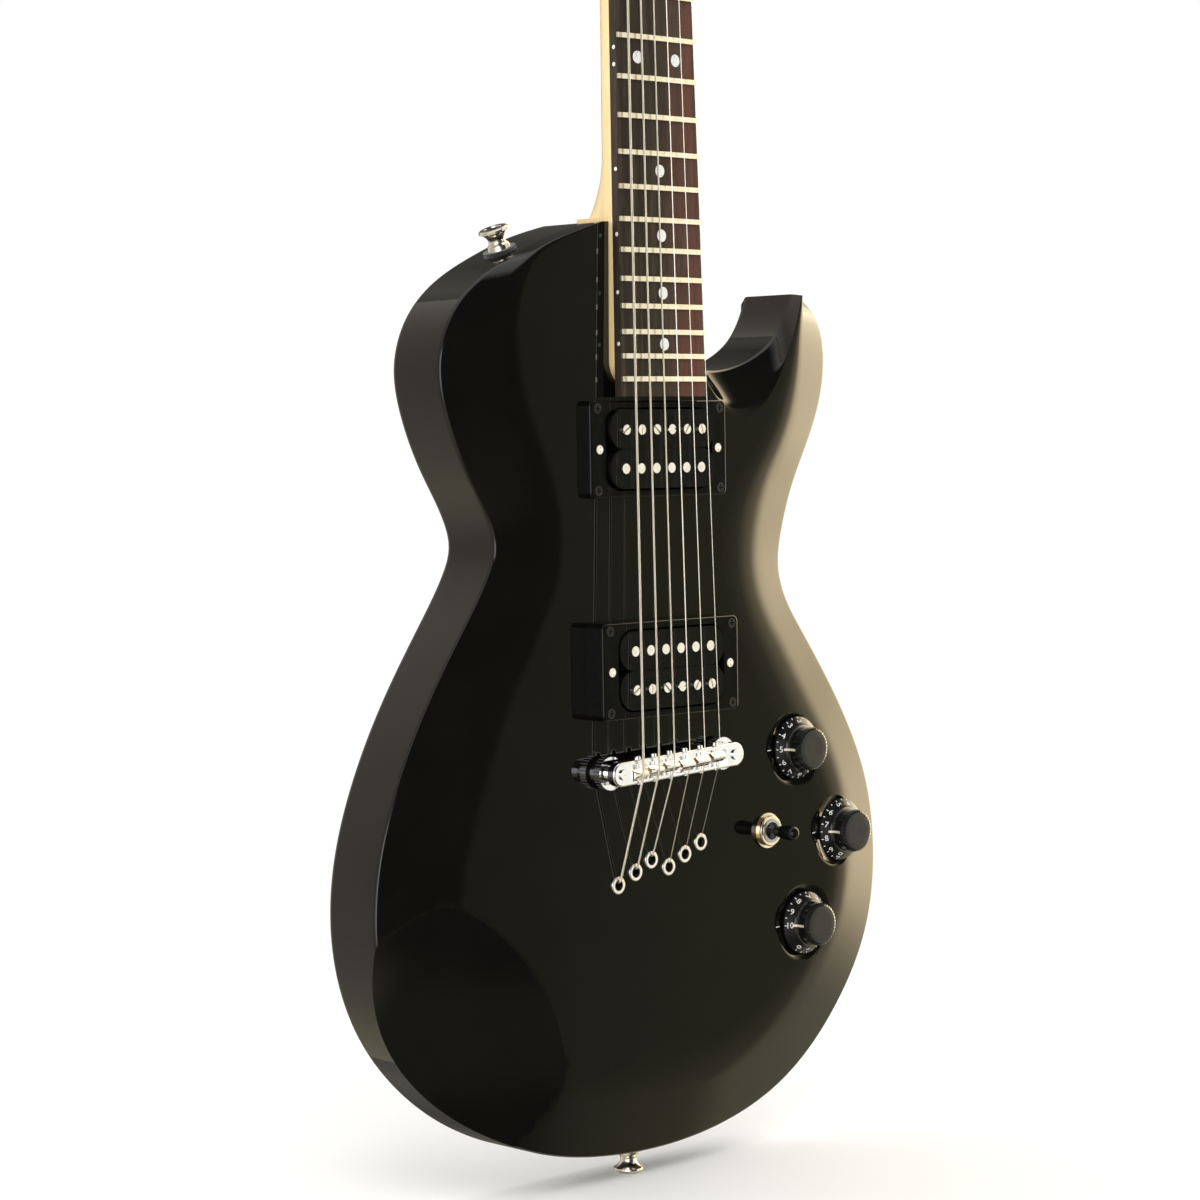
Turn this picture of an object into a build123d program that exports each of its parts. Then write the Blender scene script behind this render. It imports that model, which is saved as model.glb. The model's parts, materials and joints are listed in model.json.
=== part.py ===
from build123d import *
import math
import os

# Electric guitar, single cutaway, 25.5 inch scale. Millimetres.
# +X treble side, +Y into the back of the body, +Z up towards the headstock.
# Origin: centreline, front plateau of the body, saddle line of the bridge.
# Lists with one entry per string run from bass to treble.
os.makedirs("parts", exist_ok=True)

# ---------------------------------------------------------------- shared dimensions
SCALE = 647.7
N_FRETS = 22
BODY_T = 45.0
RIM_Y = 10.0  # depth of the rim behind the front plateau
BACK_R = 4.0

BOARD_T = 5.5
BOARD_END = 173.5  # body end of the fingerboard, along the neck
BOARD_TOP_22 = -9.5  # y of the board's top face at the last fret
NECK_SLOPE = 0.019
NUT_W = 42.5
NUT_LEN = 5.0
NECK_TAPER = 0.029
POCKET_Y = 22.0
TENON_Z = 178.0
TENON_R = 12
HEAD_TILT = 13.0

STRING_Y = -17.5  # at the saddles
FRET_H = 1.1
STRING_H = FRET_H + 0.85  # above the board's top face at the nut
STRING_R = [0.64, 0.52, 0.40, 0.27, 0.20, 0.15]
BRIDGE_X = [-25.9 + 10.36 * i for i in range(6)]
NUT_X = [-17.5 + 7.0 * i for i in range(6)]
FERRULES = [(-27.2, -59.1), (-15.7, -54.0), (-5.1, -49.1), (6.5, -53.7), (17.6, -48.6), (28.6, -43.8)]

# x, z, depth of the dish under the knob
KNOBS = {
    "knob_volume_neck": (98.3, -3.0, 3.5),
    "knob_volume_bridge": (130.5, -47.4, 5.0),
    "knob_tone": (103.0, -92.2, 3.5),
}
KNOB_CENTRES = [(x, z) for x, z, _ in KNOBS.values()]
DISH_R = 19.5
SWITCH = (75.7, -42.7)

# z, height of the mounting ring, height of the pickup's top
PICKUPS = {"neck": (148.6, 5.0, 7.6), "bridge": (43.9, 11.5, 12.2)}
RING_SCREW_DX, RING_SCREW_DZ = 81.5, 38.7
HEIGHT_SCREW_DX = 79

BRIDGE_POST_L, BRIDGE_POST_R = (-36.7, -4.3), (38.7, -0.7)
BUSHING_R = 5.5

# outline of the control cavity and the screws of its cover, in x, z
CAVITY = [(58, -22), (84, 14), (114, 14), (147, -30), (147, -66), (121, -112), (84, -112), (58, -66)]
CAVITY_R = 9
COVER_SCREWS = [(55, -30), (55, -60), (90.5, 17), (107.5, 17), (150, -48), (91, -115), (114, -115)]

# seats cut into the rim for the jack and the strap buttons: centre, outward normal
SEAT_DEPTH = 0.8
JACK_O = Vector(128.7, 26, -149.4)
JACK_N = Vector(math.cos(math.radians(-44.6)), 0, math.sin(math.radians(-44.6)))
JACK_SEAT = JACK_O - JACK_N * SEAT_DEPTH
JACK_SCREW_GRID = (16, 30, 2, 2)
STRAPS = [
    (Vector(-74.2, 24, 241.6), Vector(-0.372, 0, 0.928)),
    (Vector(0, 24, -193.0), Vector(0, 0, -1)),
]
FELT_SPACE = 2.4


# ---------------------------------------------------------------- helpers
def save(builder, name):
    part = builder.part
    part.label = name
    export_step(part, "parts/" + name + ".step")


def circles(centres, radius, bore=None):
    """Circles, or rings if a bore is given. Call inside BuildSketch."""
    with Locations(*centres):
        Circle(radius)
        if bore:
            Circle(bore, mode=Mode.SUBTRACT)


def cross_slots(centres, length, width):
    """Crossed screwdriver slots. Call inside BuildSketch."""
    with Locations(*centres):
        Rectangle(length, width)
        Rectangle(width, length)


def pair(z, spacing):
    return [(-spacing / 2, z), (spacing / 2, z)]


def corners(z, dx, dz):
    return pair(z - dz / 2, dx) + pair(z + dz / 2, dx)


def at_y(y):
    """Plane facing the front at depth y: sketch x is X, sketch y is Z."""
    return Plane.XZ.offset(-y)


def profile_plane(x, z):
    """Plane for a profile revolved about (x, z): sketch x is radius, sketch y is depth."""
    return Plane(origin=(x, 0, z), x_dir=(1, 0, 0), z_dir=(0, 0, 1))


def jack_plane(out):
    """Plane at a distance out from the jack's seat: sketch x is Y."""
    return Plane(origin=JACK_SEAT + JACK_N * out, x_dir=(0, 1, 0), z_dir=JACK_N)


def dish_sphere_radius(depth):
    return (DISH_R**2 + depth**2) / (2 * depth)


def cavity_outline():
    """Call inside BuildLine."""
    FilletPolyline(*CAVITY, radius=CAVITY_R, close=True)


# ---------------------------------------------------------------- neck frame
def fret_s(n):
    """Distance of fret n from the saddle line."""
    return SCALE * 2 ** (-n / 12)


def board_y(z):
    return BOARD_TOP_22 + NECK_SLOPE * (z - fret_s(N_FRETS))


def half_width(z):
    """Half width of the neck and fingerboard at height z."""
    return (NUT_W + (SCALE - z) * NECK_TAPER) / 2


NECK_ANGLE = math.atan(NECK_SLOPE)
NECK_O = Vector(0, board_y(0), 0)
NECK_UP = Vector(0, math.sin(NECK_ANGLE), math.cos(NECK_ANGLE))
NECK_FRONT = Vector(0, -math.cos(NECK_ANGLE), math.sin(NECK_ANGLE))


def neck_pt(x, s, h):
    """Point x across, s along the neck from the saddle line, h above the board's top face."""
    return NECK_O + Vector(x, 0, 0) + NECK_UP * s + NECK_FRONT * h


def across_neck(s, h=0, x=0):
    """Plane across the neck: sketch x is X, sketch y points to the back."""
    return Plane(origin=neck_pt(x, s, h), x_dir=(1, 0, 0), z_dir=NECK_UP)


def board_plane(h, s=0):
    """Plane parallel to the board at height h: sketch y runs up the neck from s."""
    return Plane(origin=neck_pt(0, s, h), x_dir=(1, 0, 0), z_dir=NECK_FRONT)


def taper_outline(z_low, z_high):
    """Closed outline of the tapering neck between two heights. Call inside BuildLine."""
    low, high = half_width(z_low), half_width(z_high)
    Polyline((-low, z_low), (low, z_low), (high, z_high), (-high, z_high), close=True)


# ---------------------------------------------------------------- headstock frame
NECK_END = SCALE + NUT_LEN
HEAD_ANGLE = NECK_ANGLE + math.radians(HEAD_TILT)
HEAD_O = neck_pt(0, NECK_END, -BOARD_T)
HEAD_UP = Vector(0, math.sin(HEAD_ANGLE), math.cos(HEAD_ANGLE))
HEAD_FRONT = Vector(0, -math.cos(HEAD_ANGLE), math.sin(HEAD_ANGLE))

# tuner posts and truss rod cover screws on the headstock face
POSTS = [(-26.5, 42), (-27.5, 82), (-27.5, 122), (27.5, 122), (27.5, 82), (26.5, 42)]
ROD_COVER_SCREWS = [(0, 9.5), (0, 33)]
POST_R = 2.97
TUNER_BUSHING_R = 4.9
WIND_H = 7.5  # height of the string windings above the headstock face


def head_pt(x, y, z):
    return HEAD_O + Vector(x, 0, 0) + HEAD_UP * y + HEAD_FRONT * z


def head_plane(h=0):
    """Plane parallel to the headstock face, h in front of it."""
    return Plane(origin=head_pt(0, 0, h), x_dir=(1, 0, 0), z_dir=HEAD_FRONT)


def nut_pt(i):
    """Centre of string i over the middle of the nut."""
    return neck_pt(NUT_X[i], SCALE + NUT_LEN / 2, STRING_H)


def string_end(i):
    """End of string i, on the side of its post that faces the centreline."""
    x, y = POSTS[i]
    inward = -1 if x > 0 else 1
    return head_pt(x + inward * (POST_R + 2.6 * STRING_R[i] + 0.2), y - 0.5, WIND_H)


# ---------------------------------------------------------------- body outline
# Each pair is (rim point, plateau point) in X, Z, bass shoulder round the tail to the horn tip.
PAIRS = [
    ((-31, 256), (-31, 256)), ((-54, 249.6), (-53.7, 249)), ((-76.8, 240.3), (-74.5, 239.4)),
    ((-99.5, 228), (-85.5, 226)), ((-117, 210.5), (-91.5, 207)), ((-124.6, 187), (-89.8, 184)),
    ((-121, 165.5), (-84, 165)), ((-108.5, 137.5), (-72.5, 138.5)), ((-96.5, 116.5), (-67, 117.5)),
    ((-93.2, 103.5), (-66.8, 103)), ((-97.5, 91), (-69, 89)), ((-111, 70), (-77.8, 70)),
    ((-134.5, 35), (-100.5, 31)), ((-154.2, -2.9), (-118, -6)), ((-165, -36), (-129.5, -39)),
    ((-168, -66), (-134, -66)), ((-164.5, -92), (-130.5, -89)), ((-154.5, -117.5), (-120, -110.5)),
    ((-137, -141.5), (-103, -129)), ((-108, -165.5), (-82, -141.5)), ((-68, -183.8), (-55, -148.5)),
    ((-30, -191.2), (-26, -152.5)), ((0, -193), (0, -153.8)), ((29.1, -191.7), (27, -153.5)),
    ((60, -186.5), (52, -149.8)), ((93.1, -174.7), (76.5, -140.5)), ((118.7, -158), (97, -127)),
    ((137.2, -139.8), (112, -111.5)), ((151.4, -120.8), (122.5, -96)), ((161, -101), (129, -81)),
    ((166.2, -78), (132, -64)), ((166.6, -52), (131.5, -45)), ((161, -23), (127, -27)),
    ((149.5, 3), (116.5, -8)), ((134, 28), (100.5, 14.5)), ((112.5, 57.5), (82, 45.5)),
    ((101.5, 74.5), (70.5, 67.5)), ((97.6, 89.3), (64.5, 88.5)), ((100, 105.5), (63.8, 106)),
    ((108.6, 129.3), (72, 129.5)), ((119.3, 149.4), (86.5, 149.5)), ((128.6, 169.6), (96.5, 171)),
    ((132.6, 190), (102, 193)), ((129, 209.5), (105, 210.5)), ((119.5, 220), (106.5, 219.5)),
    ((109, 225), (106.8, 223.9)),
]
# the cutaway, horn tip to the side of the neck
CUTAWAY = [
    ((109, 225), (106.8, 223.9)), ((103.5, 213), (99.8, 205)), ((96, 203), (91.5, 189)),
    ((84, 194.8), (80.5, 176)), ((68, 188.8), (68.5, 168.8)), ((52, 186.5), (54.5, 168)),
    ((39, 188.5), (42, 176.5)), ((half_width(196), 196), (half_width(196), 196)),
]
# the end of the body under the neck, the same for rim and plateau
HEEL = [(half_width(236), 236), (21, 249), (2, 255.6), (-31, 256)]
RIM, PLATEAU = 0, 1


def outline(level):
    """Outline of the body at the rim or the plateau. Call inside BuildLine."""
    Spline(*[p[level] for p in PAIRS])
    Spline(*[p[level] for p in CUTAWAY])
    Line(CUTAWAY[-1][level], HEEL[0])
    Spline(*HEEL)


# ---------------------------------------------------------------- body
FOREARM_R = 218
FOREARM_CENTRE = (-165, 26.4 - FOREARM_R, -155)
PICKUP_CAVITY_Y = 20
CAVITY_FRONT_Y = 12
CHANNEL_R = 3

# round holes from the top and back: start y, end y, centres, radius
BORES = [
    (-20, 20, KNOB_CENTRES, 3.6),
    (-20, 20, [SWITCH], 6.0),
    (-1, 20, [BRIDGE_POST_L, BRIDGE_POST_R], BUSHING_R),
    (-1, 49, FERRULES, 1.4),
    (-1, 6, FERRULES, 3.45),
    (BODY_T - 9, BODY_T + 3, FERRULES, 3.6),
    (BODY_T - 1.05, BODY_T + 1.95, FERRULES, 4.7),
]
# screw holes in the same layout: pickup rings, rear cover
SCREW_HOLE_R = 1.2
SCREW_BORES = [
    (-1, 12, corners(z, RING_SCREW_DX, RING_SCREW_DZ), SCREW_HOLE_R) for z, _, _ in PICKUPS.values()
] + [(BODY_T - 14, BODY_T - 1, COVER_SCREWS, SCREW_HOLE_R)]

with BuildPart() as body_wood:
    # sloping top between plateau and rim, then straight sides to the back
    with BuildSketch(at_y(0)):
        with BuildLine():
            outline(PLATEAU)
        make_face()
    with BuildSketch(at_y(RIM_Y)):
        with BuildLine():
            outline(RIM)
        make_face()
    loft(ruled=True)
    with BuildSketch(at_y(RIM_Y)):
        with BuildLine():
            outline(RIM)
        make_face()
    extrude(amount=-(BODY_T - RIM_Y))
    # rounded back edge
    fillet(body_wood.faces().sort_by(Axis.Y)[-1].edges(), radius=BACK_R)
    # forearm contour
    with Locations(FOREARM_CENTRE):
        Sphere(FOREARM_R, mode=Mode.SUBTRACT)
    # dished recesses under the knobs
    for x, z, dish in KNOBS.values():
        sphere_r = dish_sphere_radius(dish)
        with Locations((x, dish - sphere_r, z)):
            Sphere(sphere_r, mode=Mode.SUBTRACT)
    # neck pocket
    with BuildSketch(at_y(-1)) as pocket:
        with BuildLine():
            taper_outline(TENON_Z, 270)
        make_face()
        fillet(pocket.vertices().sort_by(Axis.Y)[:2], TENON_R)
    extrude(amount=-(POCKET_Y + 1), mode=Mode.SUBTRACT)
    # pickup cavities with slots for the mounting ears
    for z, _, _ in PICKUPS.values():
        with BuildSketch(at_y(-1)):
            with Locations((0, z)):
                RectangleRounded(73, 41, 5)
                Rectangle(87, 13)
        extrude(amount=-(PICKUP_CAVITY_Y + 1), mode=Mode.SUBTRACT)
    # control cavity and its cover recess
    with BuildSketch(at_y(CAVITY_FRONT_Y)):
        with BuildLine():
            cavity_outline()
        make_face()
    extrude(amount=-(BODY_T - CAVITY_FRONT_Y), mode=Mode.SUBTRACT)
    with BuildSketch(at_y(BODY_T - 2.5)):
        with BuildLine():
            cavity_outline()
        make_face()
        offset(amount=6, mode=Mode.ADD)
    extrude(amount=-3, mode=Mode.SUBTRACT)
    # pots, switch, bridge bushings and string ferrules front and back
    for start, end, centres, radius in BORES:
        with BuildSketch(at_y(start)):
            circles(centres, radius)
        extrude(amount=start - end, mode=Mode.SUBTRACT)
    # wire channels: neck cavity to bridge cavity, bridge cavity to control cavity
    with BuildSketch(Plane.XY.offset(60)):
        circles([(-25, 14)], CHANNEL_R)
    extrude(amount=72, mode=Mode.SUBTRACT)
    with BuildSketch(Plane(origin=(30, 15.5, 28), z_dir=(1, 0, -0.75))):
        Circle(CHANNEL_R)
    extrude(amount=50, mode=Mode.SUBTRACT)
    # output jack: flat seat, barrel bore, wire hole to the control cavity
    with BuildSketch(jack_plane(0)):
        RectangleRounded(24, 38, 5)
    extrude(amount=12, mode=Mode.SUBTRACT)
    for radius, depth in ((9.5, 34), (CHANNEL_R, 58)):
        with BuildSketch(Plane(origin=JACK_O, z_dir=-JACK_N)):
            Circle(radius)
        extrude(amount=depth, mode=Mode.SUBTRACT)
    # strap button seats and pilot holes
    for rim_pt, normal in STRAPS:
        with BuildSketch(Plane(origin=rim_pt - normal * SEAT_DEPTH, z_dir=normal)):
            Circle(8.2)
        extrude(amount=8, mode=Mode.SUBTRACT)
        with BuildSketch(Plane(origin=rim_pt, z_dir=-normal)):
            Circle(1.75)
        extrude(amount=28, mode=Mode.SUBTRACT)
    # screw holes: pickup rings, rear cover, jack plate
    for start, end, centres, radius in SCREW_BORES:
        with BuildSketch(at_y(start)):
            circles(centres, radius)
        extrude(amount=start - end, mode=Mode.SUBTRACT)
    with BuildSketch(jack_plane(SEAT_DEPTH - 12)):
        with GridLocations(*JACK_SCREW_GRID):
            Circle(SCREW_HOLE_R)
    extrude(amount=14, mode=Mode.SUBTRACT)
save(body_wood, "body_wood")

# ---------------------------------------------------------------- neck
# stations: distance along the neck, depth under the board top, fullness of the section
SHAFT_STATIONS = [
    (NECK_END, 20.3, 0.0), (560, 20.8, 0.0), (430, 21.8, 0.0), (323, 22.8, 0.0), (286, 23.6, 0.0),
]
HEEL_STATIONS = [(286, 23.6, 0.0), (277, 24.6, 0.15), (268, 27.0, 0.4), (258, 30.2, 0.8)]
# headstock outline on its face, x and distance up the head
HEADSTOCK = [
    (-21.2, -3), (-23.5, 10), (-36, 27), (-40.5, 46), (-39.5, 90), (-40.5, 140), (-37, 158),
    (-20, 168), (0, 171), (20, 168), (37, 158), (40.5, 140), (39.5, 90), (40.5, 46), (36, 27),
    (23.5, 10), (21.2, -3),
]
HEAD_T = 14
ROD_CHANNEL_START = 190
ROD_CHANNEL_W, ROD_CHANNEL_D = 6.4, 7.2


def section_points(s, depth, fullness):
    """Points of the half-round neck section; fullness squares off its sides."""
    w = half_width(s)
    d = depth - BOARD_T
    side = [
        (w, BOARD_T),
        (w * (0.955 + 0.04 * fullness), BOARD_T + d * 0.38),
        (w * (0.66 + 0.2 * fullness), BOARD_T + d * (0.80 + 0.1 * fullness)),
    ]
    return [(-x, y) for x, y in side] + [(0, depth)] + side[::-1]


with BuildPart() as neck:
    for stations in (SHAFT_STATIONS, HEEL_STATIONS):
        for s, depth, fullness in stations:
            with BuildSketch(across_neck(s)):
                with BuildLine():
                    Spline(*section_points(s, depth, fullness))
                    Line((half_width(s), BOARD_T), (-half_width(s), BOARD_T))
                make_face()
        loft()
    # tenon, trimmed flush with the underside of the board
    with BuildSketch(at_y(POCKET_Y)) as tenon:
        with BuildLine():
            taper_outline(TENON_Z, 258.2)
        make_face()
        fillet(tenon.vertices().sort_by(Axis.Y)[:2], TENON_R)
    extrude(amount=POCKET_Y + 12)
    with BuildSketch(board_plane(-BOARD_T, 220)):
        Rectangle(90, 120)
    extrude(amount=20, mode=Mode.SUBTRACT)
    # headstock
    with BuildSketch(head_plane()):
        with BuildLine():
            Spline(*HEADSTOCK)
            Line(HEADSTOCK[-1], HEADSTOCK[0])
        make_face()
    extrude(amount=-HEAD_T)
    # the seat of the nut and board end stays flat
    with BuildSketch(board_plane(-BOARD_T, NECK_END - 10)):
        Rectangle(60, 20)
    extrude(amount=8, mode=Mode.SUBTRACT)
    # truss rod channel from the heel to the headstock face
    with BuildSketch(across_neck(ROD_CHANNEL_START, -BOARD_T - ROD_CHANNEL_D / 2)):
        Rectangle(ROD_CHANNEL_W, ROD_CHANNEL_D)
    extrude(amount=SCALE + 30 - ROD_CHANNEL_START, mode=Mode.SUBTRACT)
    # tuner bushing holes and cover screw holes
    for centres, radius, length in ((POSTS, TUNER_BUSHING_R, 16), (ROD_COVER_SCREWS, 0.9, 9)):
        with BuildSketch(head_plane(1)):
            circles(centres, radius)
        extrude(amount=-length, mode=Mode.SUBTRACT)
save(neck, "neck")

# ---------------------------------------------------------------- fingerboard, frets, markers
BOARD_RADIUS = 350.0  # curvature across the board's top
MARKER_R = 3.0


def between_frets(n):
    """Middle of the space below fret n."""
    return (fret_s(n) + fret_s(n - 1)) / 2


MARKERS = [(0, between_frets(n)) for n in (3, 5, 7, 9, 15, 17, 19, 21)]
MARKERS += pair(between_frets(12), 25)

with BuildPart() as fingerboard:
    with BuildSketch(board_plane(-BOARD_T)):
        with BuildLine():
            taper_outline(BOARD_END, SCALE)
        make_face()
    extrude(amount=BOARD_T)
    with BuildSketch(across_neck(BOARD_END - 5)):
        circles([(0, BOARD_RADIUS)], BOARD_RADIUS)
    extrude(amount=SCALE - BOARD_END + 10, mode=Mode.INTERSECT)
    # marker pockets
    with BuildSketch(board_plane(1)):
        circles(MARKERS, MARKER_R)
    extrude(amount=-3, mode=Mode.SUBTRACT)
save(fingerboard, "fingerboard")

with BuildPart() as fret_wires:
    # upright bars, trimmed to a curved shell on top of the board
    for n in range(1, N_FRETS + 1):
        with BuildSketch(board_plane(-2.5)):
            with Locations((0, fret_s(n))):
                Rectangle(2 * half_width(fret_s(n)) - 0.3, 2.4)
        extrude(amount=5)
    with BuildSketch(across_neck(BOARD_END - 5)):
        circles([(0, BOARD_RADIUS)], BOARD_RADIUS + FRET_H, BOARD_RADIUS)
    extrude(amount=SCALE - BOARD_END + 10, mode=Mode.INTERSECT)
save(fret_wires, "fret_wires")

with BuildPart() as fret_markers:
    with BuildSketch(board_plane(-2)):
        circles(MARKERS, MARKER_R)
    extrude(amount=1.6)
save(fret_markers, "fret_markers")

# ---------------------------------------------------------------- nut
with BuildPart() as nut:
    with BuildSketch(board_plane(-BOARD_T, SCALE + NUT_LEN / 2)):
        Rectangle(NUT_W, NUT_LEN)
    extrude(amount=BOARD_T + 2.6)
    chamfer(nut.faces().sort_by(Axis.Y)[0].edges().filter_by(Axis.X), 0.8)
    for i, string_r in enumerate(STRING_R):
        slot_w = 2 * string_r + 0.16
        with BuildSketch(across_neck(SCALE - 1, STRING_H, NUT_X[i])):
            with Locations((0, -2)):
                Rectangle(slot_w, 4 + slot_w)
        extrude(amount=8, mode=Mode.SUBTRACT)
        # the slot falls away and fans out towards the tuning machine
        slot_o = nut_pt(i)
        slot_dir = (string_end(i) - slot_o).normalized()
        slot_w = 2 * string_r + 0.4
        with BuildSketch(Plane(origin=slot_o - slot_dir * 0.6, x_dir=(1, 0, 0), z_dir=slot_dir)):
            with Locations((0, -1.5)):
                Rectangle(slot_w, 3 + slot_w)
        extrude(amount=8, mode=Mode.SUBTRACT)
save(nut, "nut")

# ---------------------------------------------------------------- truss rod and its cover
ROD_START = 196
ROD_H = -BOARD_T - 3.4  # height of the rod's axis
ROD_NUT_R = 2.2

with BuildPart() as truss_rod:
    # square rod, round collar, hexagonal end
    with BuildSketch(across_neck(ROD_START, ROD_H)):
        Rectangle(6, 6)
    extrude(amount=SCALE - ROD_START)
    with BuildSketch(across_neck(SCALE, ROD_H)):
        Circle(ROD_NUT_R)
    extrude(amount=3)
    with BuildSketch(across_neck(SCALE + 3, ROD_H)):
        RegularPolygon(ROD_NUT_R, 6)
    extrude(amount=7)
save(truss_rod, "truss_rod")

ROD_COVER_T = 2
with BuildPart() as truss_rod_cover:
    with BuildSketch(head_plane()):
        with BuildLine():
            FilletPolyline((-9, 5.5), (9, 5.5), (7, 37.5), (-7, 37.5), radius=2.5, close=True)
        make_face()
        with Locations(*ROD_COVER_SCREWS):
            Circle(0.95, mode=Mode.SUBTRACT)
    extrude(amount=ROD_COVER_T)
save(truss_rod_cover, "truss_rod_cover")

# ---------------------------------------------------------------- pickups
RING_W, RING_H = 91.0, 46.0
SCREW_SEAT = 1.4  # depth of the screw head seats in the ring
PICKUP_D = 12.0
EAR_Y = 8.0
PLATE_T = 1.2
POLE_PITCH = 10.06
POLE_ROW_Z = 9.2  # distance of each row of poles from the pickup's middle
BOBBIN_Z = 9.45
# bobbin layers: rise above the pickup's bottom, length, width, corner radius, thickness
BOBBIN_LAYERS = [
    (0, 69.4, 18.6, 8.4, 1.4),  # bottom flange
    (1.4, 67.4, 16.6, 7.4, 9.0),  # wound coil
    (10.4, 69.4, 18.6, 8.4, 1.6),  # top flange
]


def pole_row(z):
    return [(POLE_PITCH * (i - 2.5), z) for i in range(6)]


for name, (pickup_z, ring_h, top_h) in PICKUPS.items():
    ring_screws = corners(pickup_z, RING_SCREW_DX, RING_SCREW_DZ)
    height_screws = pair(pickup_z, HEIGHT_SCREW_DX)
    with BuildPart() as ring:
        with BuildSketch(at_y(0)):
            with Locations((0, pickup_z)):
                RectangleRounded(RING_W, RING_H, 3)
                RectangleRounded(71, 39.4, 9, mode=Mode.SUBTRACT)
        extrude(amount=ring_h)
        fillet(ring.faces().sort_by(Axis.Y)[0].outer_wire().edges(), 1.2)
        # through holes, then head seats
        with BuildSketch(at_y(1)):
            circles(ring_screws, 1.6)
            circles(height_screws, 1.3)
        extrude(amount=ring_h + 2, mode=Mode.SUBTRACT)
        with BuildSketch(at_y(-ring_h + SCREW_SEAT)):
            circles(ring_screws, 2.5)
            circles(height_screws, 2.2)
        extrude(amount=3, mode=Mode.SUBTRACT)
    save(ring, "pickup_ring_" + name)

    top_y = -top_h
    bottom_y = top_y + PICKUP_D
    # the pole screws are in the row away from the other pickup
    outer_row = POLE_ROW_Z if name == "neck" else -POLE_ROW_Z
    screw_row = pole_row(pickup_z + outer_row)
    slug_row = pole_row(pickup_z - outer_row)

    with BuildPart() as bobbins:
        for bobbin_z in (pickup_z - BOBBIN_Z, pickup_z + BOBBIN_Z):
            for rise, length, width, corner_r, thickness in BOBBIN_LAYERS:
                with BuildSketch(at_y(bottom_y - rise)):
                    with Locations((0, bobbin_z)):
                        RectangleRounded(length, width, corner_r)
                extrude(amount=thickness)
        with BuildSketch(at_y(bottom_y)):
            circles(screw_row + slug_row, 2.5)
        extrude(amount=PICKUP_D + 1, mode=Mode.SUBTRACT)
    save(bobbins, "pickup_" + name + "_bobbins")

    with BuildPart() as poles:
        # baseplate, bent legs and mounting ears
        with BuildSketch(at_y(bottom_y + PLATE_T)):
            with Locations((0, pickup_z)):
                RectangleRounded(69, 37, 8.2)
        extrude(amount=PLATE_T)
        with BuildSketch(at_y(EAR_Y + PLATE_T)):
            with Locations((-33.9, pickup_z), (33.9, pickup_z)):
                Rectangle(PLATE_T, 10)
        extrude(amount=EAR_Y + PLATE_T - bottom_y)
        with BuildSketch(at_y(EAR_Y + PLATE_T)):
            with Locations((-37.9, pickup_z), (37.9, pickup_z)):
                RectangleRounded(9.2, 10, 1)
            with Locations(*height_screws):
                Circle(1.6, mode=Mode.SUBTRACT)
        extrude(amount=PLATE_T)
        # slugs, then pole screws with slotted heads
        for row, radius, length in ((slug_row, 2.45, 12.4), (screw_row, 2.4, 13.2)):
            with BuildSketch(at_y(bottom_y)):
                circles(row, radius)
            extrude(amount=length)
        for i, centre in enumerate(screw_row):
            with BuildSketch(at_y(top_y - 0.4)):
                with Locations(centre):
                    Rectangle(6, 0.8, rotation=35 + 50 * i)
            extrude(amount=2, mode=Mode.SUBTRACT)
    save(poles, "pickup_" + name + "_poles")

with BuildPart() as pickup_height_screws:
    for pickup_z, ring_h, _ in PICKUPS.values():
        centres = pair(pickup_z, HEIGHT_SCREW_DX)
        seat_y = -ring_h + SCREW_SEAT
        with BuildSketch(at_y(17)):
            circles(centres, 1.25)
        extrude(amount=17 - seat_y)
        with BuildSketch(at_y(seat_y)):
            circles(centres, 2.15)
        extrude(amount=1.6)
        with BuildSketch(at_y(-ring_h + 0.4)):
            cross_slots(centres, 3.0, 0.7)
        extrude(amount=1, mode=Mode.SUBTRACT)
save(pickup_height_screws, "pickup_height_screws")

BLACK_SCREW_R = 1.15
COVER_SEAT_Y = BODY_T - 1.25  # seats of the screw heads in the rear cover
with BuildPart() as black_screws:
    # pickup ring corners
    for pickup_z, ring_h, _ in PICKUPS.values():
        centres = corners(pickup_z, RING_SCREW_DX, RING_SCREW_DZ)
        seat_y = -ring_h + SCREW_SEAT
        with BuildSketch(at_y(11)):
            circles(centres, BLACK_SCREW_R)
        extrude(amount=11 - seat_y)
        with BuildSketch(at_y(seat_y)):
            circles(centres, 2.45)
        extrude(amount=1.8)
        with BuildSketch(at_y(-ring_h + 0.5)):
            cross_slots(centres, 3.2, 0.7)
        extrude(amount=2, mode=Mode.SUBTRACT)
    # rear cover
    with BuildSketch(at_y(BODY_T - 12)):
        circles(COVER_SCREWS, BLACK_SCREW_R)
    extrude(amount=-11.5)
    with BuildSketch(at_y(COVER_SEAT_Y)):
        circles(COVER_SCREWS, 2.6)
    extrude(amount=-1.15)
    with BuildSketch(at_y(BODY_T - 0.7)):
        cross_slots(COVER_SCREWS, 3.2, 0.7)
    extrude(amount=-2, mode=Mode.SUBTRACT)
save(black_screws, "black_screws")

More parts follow.
